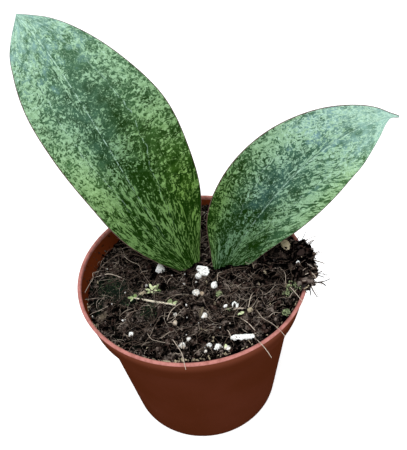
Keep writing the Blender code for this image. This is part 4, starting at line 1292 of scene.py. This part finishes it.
sizes = rng.uniform(0.45, 1.2, DEBRIS_COUNT) * MM
places = []
for size in sizes:
    angle = rng.uniform(*DEBRIS_SECTOR)
    radius = wall_radius(LIP_FOOT) - abs(rng.normal(0, 0.45)) * MM - 0.3 * size
    spot = circle_point(radius, angle, 0)
    spot.z = min(soil_height(spot.x, spot.y) + 0.5 * MM, POT_HEIGHT - 0.3 * MM) + 0.3 * size
    places.append(spot)
tones = rng.beta(2.0, 1.6, DEBRIS_COUNT)
add_lumps("furrow_debris", "bark_chip", bark, rng, np.array(places), sizes, tones,
          proportions=(1.5, 0.8, 0.5), unevenness=0.2, fineness=2)

moss, tree, shader = start_material("moss", roughness=0.7, specular=0.15)
tone, grain = varied_tone(tree, object_place(tree), stored(tree, "tone"),
                          grain_scale=MOSS_GRAIN_SCALE, graininess=0.5)
colour = mix_colours(tree, step_up(tree, tone, 0.0, 1.0), MOSS_DARK, MOSS_PALE)
finish_material(tree, shader, colour, grain, 0.08 * MM)

places = []
sizes = []
tones = []
for x, y, radius, height, count, tone in MOSS_TUFTS:
    for _ in range(count):
        out = math.sqrt(rng.uniform())
        angle = rng.uniform(0, 2 * math.pi)
        spot = (x + radius * out * math.cos(angle), y + radius * out * math.sin(angle))
        dome = height * math.sqrt(1 - out * out)
        places.append(on_soil(spot, (dome + rng.uniform(0.0, 0.4)) * MM))
        sizes.append(rng.uniform(0.35, 0.95) * MM)
        tones.append(tone + rng.normal(0, 0.08 + 0.35 * tone))
add_lumps("moss_tufts", "dry_sprig", moss, rng, np.array(places), np.array(sizes), np.array(tones),
          proportions=(1.2, 0.7, 0.3), unevenness=0.1, fineness=2)

# Buried stem and roots
# The cutting's short stem with the swollen node that both leaves grow from, and its main
# roots. It is all under the mix, so the solid stays and gets the finish of pale root bark.

ROOT_TAN = (0.34, 0.22, 0.12)
ROOT_BROWN = (0.16, 0.09, 0.05)
# Noise scales, in waves a metre
ROOT_PATCH_SCALE = 400.0
ROOT_GRAIN_SCALE = 900.0

root_bark, tree, shader = start_material("root_bark", roughness=0.8, specular=0.2)
place = object_place(tree)
worn = step_up(tree, cloud(tree, place, ROOT_PATCH_SCALE, detail=4.0, roughness=0.6), 0.35, 0.7)
colour = mix_colours(tree, worn, ROOT_TAN, ROOT_BROWN)
root_grain = cloud(tree, place, ROOT_GRAIN_SCALE, detail=3.0)
finish_material(tree, shader, colour, root_grain, 0.2 * MM)
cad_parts["stem_with_roots"].material_slots[0].material = root_bark

# Leaves
# Two thick satin leaves on short stalks, dark green with silver-green splashes, and a thin
# brown line round the edge. The midrib is a groove in front and a ridge behind.

STATIONS = (0.0, 0.06, 0.14, 0.25, 0.4, 0.55, 0.7, 0.82, 0.91, 0.965, 1.0)
BLADE_THICKNESS = 1.4 * MM
MARGIN_SHARE = 0.5               # how thick the blade is near its edge
STALK_RADIUS = 1.45 * MM
NODE_TOP = 53.0 * MM
STALK_ROWS = 16
BLADE_ROWS = 300
BLADE_COLUMNS = 84
GROOVE_DEPTH = 0.28 * MM
GROOVE_WIDTH = 0.9 * MM
RIDGE_HEIGHT = 0.5 * MM
ROUND_SHARE = 0.07               # share of the length over which the round stalk turns flat
TIP_SHARE = 0.05                 # the midrib fades out over this share at the tip
QUILTING = (0.16 * MM, 6.5 * MM)  # how deep and how wide the soft dents are
GRAIN_WIDTH = 20.0               # millimetres of marking from the midrib to each edge
STREAK_LENGTH = 3.0              # how far the marking is drawn out where it runs in streaks

LEAVES = {
    "leaf_left": {
        # midrib as the four points of a Bezier curve, in millimetres
        "midrib": ((1.5, 3.0, 62.5), (-18.5, 5.5, 100.0), (-30.5, 26.5, 142.5), (-55.0, 61.0, 154.5)),
        # half width in millimetres at each station, on the left and right of the midrib
        "left": (1.45, 3.0, 8.0, 13.7, 17.3, 19.7, 19.3, 15.5, 10.7, 5.2, 0.5),
        "right": (1.45, 6.6, 13.0, 21.1, 26.1, 27.2, 21.9, 15.2, 8.6, 3.5, 0.5),
        # turn about the midrib in degrees, at the foot and at the tip
        "roll": (-24, -33),
        # how far each half turns up towards its edge, in degrees
        "cup": 15,
        # where the stalk leaves the buried node, and the length that the marking is spread over
        "stalk_foot": (2.9, 1.7),
        "length": 117.0,
        # slant of the streaks on the left and right
        "slant": (0.05, 0.05),
        # Soft fields over the blade: the value at the foot, its rise to the tip, then
        # spots, each with its share of the length, place across, reach along, reach across and
        # amount. First, how much of the blade the splashes cover
        "cover": (0.24, 0.18, (
            (0.40, -0.72, 0.16, 0.38, 0.34), (0.22, -0.20, 0.12, 0.18, 0.42),
            (0.38, 0.10, 0.15, 0.28, -0.20), (0.18, 0.20, 0.10, 0.22, -0.28),
            (0.33, 0.75, 0.15, 0.35, -0.18), (0.26, 0.46, 0.06, 0.14, 0.34),
            (0.48, 0.22, 0.05, 0.14, 0.30), (0.56, 0.34, 0.08, 0.20, -0.30),
            (0.72, 0.22, 0.12, 0.30, -0.14), (0.62, 0.85, 0.20, 0.30, 0.20),
            (0.74, -0.85, 0.20, 0.26, 0.18), (0.62, -0.25, 0.08, 0.25, -0.10),
        )),
        # how pale both the splashes and the ground are: painted light and sheen, paler towards the tip and
        # darker at the foot, with the leaf's own bloom
        "light": (-0.48, 1.26, (
            (0.33, 0.72, 0.15, 0.38, 0.14), (0.44, -0.70, 0.16, 0.36, 0.22),
            (0.12, 0.60, 0.08, 0.60, -0.30), (0.60, 0.22, 0.20, 0.40, -0.08),
        )),
        # above one bluish, a painted sky sheen with some of the leaf's own bloom; below one olive
        "tint": (0.58, 0.76, (
            (0.30, 0.75, 0.16, 0.40, -0.34), (0.48, -0.05, 0.10, 0.35, 0.26),
            (0.62, -0.10, 0.14, 0.70, 0.22), (0.40, -0.75, 0.14, 0.30, -0.12),
            (0.97, 0.00, 0.12, 1.50, -0.20), (0.50, 0.45, 0.08, 0.30, -0.12),
        )),
        # where the marking runs in streaks
        "streaked": (0.0, 0.0, (
            (0.05, 0.00, 0.32, 2.00, 1.2), (0.32, -0.20, 0.14, 0.60, 0.3),
            (0.85, -0.08, 0.25, 0.14, 0.8),
        )),
        # contrast of the marking in the lower half, and near the tip
        "strength": (1.02, 0.54),
        "seed": 0.0,
    },
    "leaf_right": {
        "midrib": ((7.5, -1.5, 60.0), (21.5, 3.5, 89.5), (50.5, 18.5, 120.0), (83.5, 26.5, 115.0)),
        "left": (1.45, 2.5, 7.5, 16.0, 20.9, 20.7, 16.2, 10.5, 5.6, 2.1, 0.5),
        "right": (1.45, 2.5, 6.5, 10.4, 15.4, 17.2, 15.7, 12.4, 6.3, 0.5, 0.5),
        "roll": (19, 18),
        "cup": 14,
        "stalk_foot": (6.2, 0.0),
        "length": 104.0,
        "slant": (0.10, 0.60),
        "cover": (0.16, 0.36, (
            (0.60, 0.72, 0.20, 0.30, 0.16), (0.38, 0.85, 0.20, 0.24, 0.26),
            (0.30, -0.75, 0.18, 0.25, 0.14), (0.42, -0.14, 0.16, 0.26, -0.16),
            (0.58, -0.72, 0.16, 0.30, 0.26), (0.82, 0.02, 0.08, 0.20, -0.35),
            (0.38, 0.34, 0.06, 0.14, 0.32), (0.68, 0.18, 0.08, 0.20, -0.18),
        )),
        "light": (-0.60, 1.58, (
            (0.32, 0.80, 0.22, 0.34, 0.22), (0.18, -0.10, 0.10, 0.45, -0.14),
            (0.42, 0.00, 0.18, 1.20, 0.12), (0.68, -0.75, 0.12, 0.35, 0.16),
        )),
        "tint": (1.14, 0.10, (
            (0.28, -0.88, 0.18, 0.28, -0.56), (0.34, -0.16, 0.18, 0.30, 0.36),
            (0.17, -0.45, 0.08, 0.22, 0.35), (0.62, 0.92, 0.25, 0.20, -0.26),
            (0.55, -0.10, 0.18, 0.50, 0.15), (0.90, 0.00, 0.16, 1.50, -0.15),
        )),
        "streaked": (0.0, 0.0, (
            (0.00, 0.00, 0.22, 2.00, 1.2), (0.58, 0.75, 0.30, 0.50, 1.0),
            (0.65, 0.00, 0.30, 0.25, 0.7),
        )),
        "strength": (1.04, 1.00),
        "seed": 40.0,
    },
}


def smooth_widths(shares, widths):
    """Read the half width at each share of the length from a smooth curve through the stations."""
    stations = np.array(STATIONS)
    values = np.array(widths) * MM
    slopes = np.gradient(values, stations)
    index = np.clip(np.searchsorted(stations, shares, side="right") - 1, 0, len(stations) - 2)
    gap = stations[index + 1] - stations[index]
    t = (shares - stations[index]) / gap
    start = (2 * t ** 3 - 3 * t ** 2 + 1) * values[index] + (t ** 3 - 2 * t ** 2 + t) * gap * slopes[index]
    end = (3 * t ** 2 - 2 * t ** 3) * values[index + 1] + (t ** 3 - t ** 2) * gap * slopes[index + 1]
    return start + end


def bezier(corners, shares):
    """Points and unit directions along a Bezier curve of four points."""
    a, b, c, d = np.array(corners) * MM
    s = shares[:, None]
    points = (1 - s) ** 3 * a + 3 * (1 - s) ** 2 * s * b + 3 * (1 - s) * s ** 2 * c + s ** 3 * d
    along = 3 * (1 - s) ** 2 * (b - a) + 6 * (1 - s) * s * (c - b) + 3 * s ** 2 * (d - c)
    return points, along / np.linalg.norm(along, axis=1)[:, None]


def stalk_corners(leaf):
    """The stalk rises straight from the node and bends into the midrib."""
    base = np.array(leaf["midrib"][0])
    onward = np.array(leaf["midrib"][1]) - base
    onward = onward / np.linalg.norm(onward)
    foot = np.array((*leaf["stalk_foot"], (NODE_TOP + CLEARANCE) / MM))
    third = np.linalg.norm(base - foot) / 3
    return foot, foot + (0, 0, third), base - third * onward, base


def field(shares, across, foot, rise, rows):
    """A value that rises along the blade, with soft oval spots on it."""
    total = foot + rise * shares + np.zeros(np.broadcast(shares, across).shape)
    for spot_share, spot_across, reach_along, reach_across, amount in rows:
        away = ((shares - spot_share) / reach_along) ** 2 + ((across - spot_across) / reach_across) ** 2
        total += amount * np.exp(-away)
    return total


def make_blade(name, leaf):
    """A leaf with its stalk: a closed body with a front and a back that meet in a round edge."""
    stalk_shares = np.linspace(0.0, 1.0, STALK_ROWS + 1)[:-1]
    blade_shares = np.linspace(0.0, 1.0, BLADE_ROWS + 1)
    stalk_points, stalk_along = bezier(stalk_corners(leaf), stalk_shares)
    blade_points, blade_along = bezier(leaf["midrib"], blade_shares)
    centres = np.vstack((stalk_points, blade_points))
    along = np.vstack((stalk_along, blade_along))
    shares = np.concatenate((np.zeros(STALK_ROWS), blade_shares))
    stalk_width = np.full(STALK_ROWS, STALK_RADIUS)
    left = np.concatenate((stalk_width, smooth_widths(blade_shares, leaf["left"])))
    right = np.concatenate((stalk_width, smooth_widths(blade_shares, leaf["right"])))

    level = np.cross(along, (0.0, -1.0, 0.0))
    level /= np.linalg.norm(level, axis=1)[:, None]
    facing = np.cross(level, along)
    roll = np.radians(leaf["roll"][0] + (leaf["roll"][1] - leaf["roll"][0]) * shares)[:, None]
    across = np.cos(roll) * level + np.sin(roll) * facing
    outward = np.cross(across, along)

    # columns run from edge to edge, closer together near the edges
    even = np.linspace(-1.0, 1.0, BLADE_COLUMNS + 1)
    position = 0.75 * even + 0.25 * np.sin(math.pi / 2 * even)
    roundness = np.exp(-(shares / ROUND_SHARE) ** 2)[:, None]
    width = np.where(position < 0, left[:, None], right[:, None])
    lift = math.radians(leaf["cup"]) * np.abs(position) / 2 * (1 - roundness)
    sideways = width * position * np.cos(lift)
    lifted = width * np.abs(position) * np.sin(lift)
    thickness = BLADE_THICKNESS + (2 * STALK_RADIUS - BLADE_THICKNESS) * roundness
    flat = MARGIN_SHARE + (1 - MARGIN_SHARE) * (1 - position ** 2)
    edge = np.clip((1 - np.abs(position)) * width / (MARGIN_SHARE * BLADE_THICKNESS), 0, 1)
    flat = flat * np.sqrt(1 - (1 - edge) ** 2)
    bulge = np.sqrt(1 - position ** 2)
    half = thickness / 2 * (flat + (bulge - flat) * roundness)
    middle = centres[:, None] + sideways[..., None] * across[:, None] + lifted[..., None] * outward[:, None]

    off_midrib = np.abs(position) * width
    on_blade = (1 - roundness) * np.clip((1 - shares[:, None]) / TIP_SHARE, 0, 1)
    groove = GROOVE_DEPTH * np.exp(-(off_midrib / GROOVE_WIDTH) ** 2) * on_blade
    ridge = RIDGE_HEIGHT * np.exp(-(off_midrib / GROOVE_WIDTH) ** 2) * on_blade * (1.2 - shares[:, None])
    quilt = np.zeros(half.shape)
    depth, size = QUILTING
    for row, column in np.ndindex(half.shape):
        spot = Vector(middle[row, column]) / size
        quilt[row, column] = depth * noise.noise(spot + Vector((leaf["seed"], 0, 0)))
    quilt *= on_blade * edge
    front = middle + (half - groove + quilt)[..., None] * outward[:, None]
    back = middle - (half + ridge - quilt)[..., None] * outward[:, None]

    rows, columns = half.shape
    inner = np.arange(1, columns - 1)
    ring = np.concatenate((front, back[:, inner[::-1]]), axis=1)
    points, faces = loft(ring)
    piece = make_piece(name, points, faces, hoya_leaf)

    def around(values):
        """Spread values of the front's points over the front and the back."""
        values = np.broadcast_to(values, (rows, columns))
        return np.concatenate((values, values[:, inner[::-1]]), axis=1).ravel()

    share_grid = np.broadcast_to(shares[:, None], (rows, columns))
    run = leaf["length"] * share_grid
    grain = (around(GRAIN_WIDTH * position), around(run), np.full(len(points), leaf["seed"]))
    set_values(piece, "grain", np.stack(grain, axis=1))
    slant = np.where(position < 0, leaf["slant"][0], leaf["slant"][1])
    streak_across = GRAIN_WIDTH * np.abs(position) - slant * run
    streak_side = leaf["seed"] + 3.0 * np.clip(4.0 * position, -1, 1)
    streak = (around(streak_across), around(run / STREAK_LENGTH), around(streak_side))
    set_values(piece, "streak", np.stack(streak, axis=1))
    streaked = np.clip(field(share_grid, position, *leaf["streaked"]), 0, 1)
    set_values(piece, "streaked", around(streaked))
    set_values(piece, "strength", around(np.interp(share_grid, (0.5, 0.8), leaf["strength"])))
    set_values(piece, "place", np.stack((around(share_grid), around(position), around(width / MM)), axis=1))
    zones = [around(np.clip(field(share_grid, position, *leaf[zone]), low, high))
             for zone, low, high in (("cover", 0.08, 0.92), ("light", -2.0, 3.0), ("tint", 0.3, 1.7))]
    set_values(piece, "zones", np.stack(zones, axis=1))
    face_side = np.concatenate((np.ones((rows, columns)), np.zeros((rows, columns - 2))), axis=1)
    set_values(piece, "front", face_side.ravel())
    return piece


# Colours where the painted light leaves the leaf darkest, halfway and lightest
GROUND = ((0.005, 0.024, 0.0005), (0.042, 0.106, 0.037), (0.265, 0.455, 0.330))
SPLASH = ((0.115, 0.215, 0.085), (0.278, 0.445, 0.245), (0.480, 0.710, 0.545))
VEIN_PALE = (0.520, 0.720, 0.620)
EDGE_BROWN = (0.110, 0.060, 0.055)
BACK_GREEN = (0.095, 0.185, 0.060)
BACK_PALE = (0.230, 0.350, 0.150)
BACK_VEIN = (0.300, 0.420, 0.210)
LINE_WIDTH = 0.16                # half width of a vein line in millimetres
COVER_GAIN = 1.3
TONE_SPREAD = 0.28               # how softly the splashes pass into the ground
# Noise scales, in waves a millimetre, and how strongly those of the marking count
PATCH_NOISE = 0.14
CURL_NOISE = 0.36
SPECK_NOISE = 0.95
SCRIBBLE_NOISE = 0.55
DARK_CURL_NOISE = 0.42
DOT_NOISE = 1.05
GROUND_NOISE = 0.22
SPLASH_NOISE = 0.70
WAVER_NOISE = 0.12
BREAK_NOISE = 0.40
BACK_NOISE = 0.50
WRINKLE_NOISE = 1.4
PATCH_GAIN = 2.6
CURL_GAIN = 1.0
SPECK_GAIN = 2.6
RINGS = 27.0                     # how closely the rings follow one another
RING_GAIN = 0.36
CAST_GAIN = 0.9                  # how much paler and darker the colours waver


def in_three_steps(tree, value, colours):
    """A colour that runs through three colours as the value goes from nought to one."""
    ramp = add_node(tree, "ShaderNodeValToRGB", {0: value})
    ramp.color_ramp.elements.new(0.5)
    for element, colour in zip(ramp.color_ramp.elements, colours):
        element.color = (*colour, 1.0)
    return ramp.outputs["Color"]


def tinted(tree, colour, blue):
    """The colour with its blue share multiplied."""
    factor = add_node(tree, "ShaderNodeCombineXYZ", {0: 1.0, 1: 1.0, 2: blue}).outputs[0]
    return add_node(tree, "ShaderNodeVectorMath", {0: colour, 1: factor}, operation="MULTIPLY").outputs[0]


def centred(tree, value, gain):
    """The value's distance from one half, times the gain."""
    return maths(tree, "MULTIPLY", maths(tree, "SUBTRACT", value, 0.5), gain)


def thin_lines(tree, value, core, reach):
    """One along the lines where the value passes one half, and nought beyond the reach."""
    away = maths(tree, "ABSOLUTE", maths(tree, "SUBTRACT", value, 0.5))
    return step_down(tree, away, core, reach)


def marking_tone(tree, place):
    """How pale the marking is, round nought: patches, rings and curls, and specks."""
    patches = cloud(tree, place, PATCH_NOISE, detail=2.0, roughness=0.7, distortion=0.5)
    curls = cloud(tree, place, CURL_NOISE, detail=1.0, roughness=0.5, distortion=1.6)
    specks = cloud(tree, place, SPECK_NOISE, detail=1.0, roughness=0.6, distortion=0.8)
    rings = maths(tree, "SINE", maths(tree, "MULTIPLY", curls, RINGS))
    tone = maths(tree, "ADD", centred(tree, patches, PATCH_GAIN), centred(tree, curls, CURL_GAIN))
    tone = maths(tree, "MULTIPLY_ADD", rings, RING_GAIN, tone)
    return maths(tree, "ADD", centred(tree, specks, SPECK_GAIN), tone)


hoya_leaf, tree, shader = start_material("hoya_leaf", roughness=0.45, specular=0.03)
grain = stored(tree, "grain", "Vector")
streaked = stored(tree, "streaked")
share, across, width = split(tree, stored(tree, "place", "Vector"))
cover, light, tint = split(tree, stored(tree, "zones", "Vector"))
off_midrib = maths(tree, "ABSOLUTE", across)
off_midrib_mm = maths(tree, "MULTIPLY", off_midrib, width)
from_edge_mm = maths(tree, "SUBTRACT", width, off_midrib_mm)

even_tone = marking_tone(tree, grain)
streak_tone = marking_tone(tree, stored(tree, "streak", "Vector"))
tone = add_node(tree, "ShaderNodeMix", {0: streaked, 2: even_tone, 3: streak_tone}).outputs[0]
strength = maths(tree, "MULTIPLY_ADD", streaked, 0.9, stored(tree, "strength"))
tone = maths(tree, "MULTIPLY_ADD", tone, strength, centred(tree, cover, COVER_GAIN))
marked = step_up(tree, tone, -TONE_SPREAD, TONE_SPREAD)
# thin pale scribbles on the dark ground
scribble = cloud(tree, grain, SCRIBBLE_NOISE, detail=2.0, roughness=0.6, distortion=1.2)
scribble = thin_lines(tree, scribble, 0.005, 0.028)
pale_scribble = maths(tree, "MULTIPLY", scribble, step_up(tree, tone, -1.1, -0.1))
marked = maths(tree, "MAXIMUM", marked, maths(tree, "MULTIPLY", pale_scribble, 0.55))
# and thin dark rings and curls in the pale patches
curl = cloud(tree, grain, DARK_CURL_NOISE, detail=1.5, roughness=0.5, distortion=1.8)
curl = thin_lines(tree, curl, 0.006, 0.036)
curl = maths(tree, "MULTIPLY", curl, step_up(tree, tone, 0.1, 0.7))
marked = maths(tree, "MULTIPLY", marked, maths(tree, "MULTIPLY_ADD", curl, -0.65, 1.0))
dot_cells = add_node(tree, "ShaderNodeTexVoronoi", {"Vector": grain, "Scale": DOT_NOISE})
chance = add_node(tree, "ShaderNodeSeparateColor", {0: dot_cells.outputs["Color"]}).outputs[0]
dot_size = maths(tree, "MULTIPLY_ADD", chance, 0.46, -0.17)
dots = step_up(tree, maths(tree, "SUBTRACT", dot_size, dot_cells.outputs["Distance"]), -0.04, 0.04)
marked = maths(tree, "MAXIMUM", marked, maths(tree, "MULTIPLY", dots, 0.6))

# The painted light picks the ground's and the splashes' colours, and the tint adds a painted bluish sheen
cast = centred(tree, cloud(tree, grain, GROUND_NOISE, detail=2.0, roughness=0.5), CAST_GAIN)
cast = maths(tree, "ADD", light, cast)
ground = tinted(tree, in_three_steps(tree, cast, GROUND), maths(tree, "POWER", tint, 2.0))
cast = centred(tree, cloud(tree, grain, SPLASH_NOISE, detail=2.0, roughness=0.6), CAST_GAIN)
cast = maths(tree, "ADD", light, cast)
splashed = tinted(tree, in_three_steps(tree, cast, SPLASH), maths(tree, "POWER", tint, 0.8))
leaf_colour = mix_colours(tree, marked, ground, splashed)

waver = centred(tree, cloud(tree, grain, WAVER_NOISE), 0.20)
spread = maths(tree, "MULTIPLY_ADD", step_up(tree, share, 0.2, 0.65), 0.22, 0.30)
side_line = maths(tree, "ADD", maths(tree, "SUBTRACT", off_midrib, spread), waver)
side_line = maths(tree, "ABSOLUTE", side_line)
side_line = maths(tree, "MULTIPLY", side_line, width)
broken = step_up(tree, cloud(tree, grain, BREAK_NOISE, detail=3.0, roughness=0.75), 0.42, 0.60)
midrib = step_down(tree, off_midrib_mm, LINE_WIDTH * 0.5, LINE_WIDTH * 1.6)
side_line = step_down(tree, side_line, LINE_WIDTH * 0.4, LINE_WIDTH * 1.4)
drawn = maths(tree, "MAXIMUM", midrib, maths(tree, "MULTIPLY", side_line, 0.6))
vein = maths(tree, "MULTIPLY", maths(tree, "MULTIPLY", drawn, broken), step_up(tree, share, 0.1, 0.6))
vein_colour = mix_colours(tree, 0.6, splashed, VEIN_PALE)
leaf_colour = mix_colours(tree, maths(tree, "MULTIPLY", vein, 0.85), leaf_colour, vein_colour)

# the back is paler and plainer, with the marking showing through and the veins raised
mottled = maths(tree, "MULTIPLY", cloud(tree, grain, BACK_NOISE, detail=4.0), 0.6)
mottled = maths(tree, "MULTIPLY_ADD", marked, 0.35, mottled)
back_colour = mix_colours(tree, mottled, BACK_GREEN, BACK_PALE)
rib = step_down(tree, off_midrib_mm, 0.4, 1.3)
rib = maths(tree, "MAXIMUM", rib, maths(tree, "MULTIPLY", side_line, 0.5))
back_colour = mix_colours(tree, maths(tree, "MULTIPLY", rib, 0.75), back_colour, BACK_VEIN)
leaf_colour = mix_colours(tree, stored(tree, "front"), back_colour, leaf_colour)
edge = step_down(tree, from_edge_mm, 0.15, 0.5)
edge = maths(tree, "MULTIPLY", edge, step_up(tree, share, 0.0, 0.12))
leaf_colour = mix_colours(tree, edge, leaf_colour, EDGE_BROWN)
tree.links.new(maths(tree, "MULTIPLY_ADD", marked, 0.08, 0.40), shader.inputs["Roughness"])
wrinkle = cloud(tree, grain, WRINKLE_NOISE, detail=3.0, roughness=0.6)
wrinkle = maths(tree, "MULTIPLY_ADD", marked, 0.25, wrinkle)
finish_material(tree, shader, leaf_colour, wrinkle, 0.10 * MM)

for name, leaf in LEAVES.items():
    finish_piece(make_blade(name.replace("leaf", "blade"), leaf), "hoya_leaf", name)
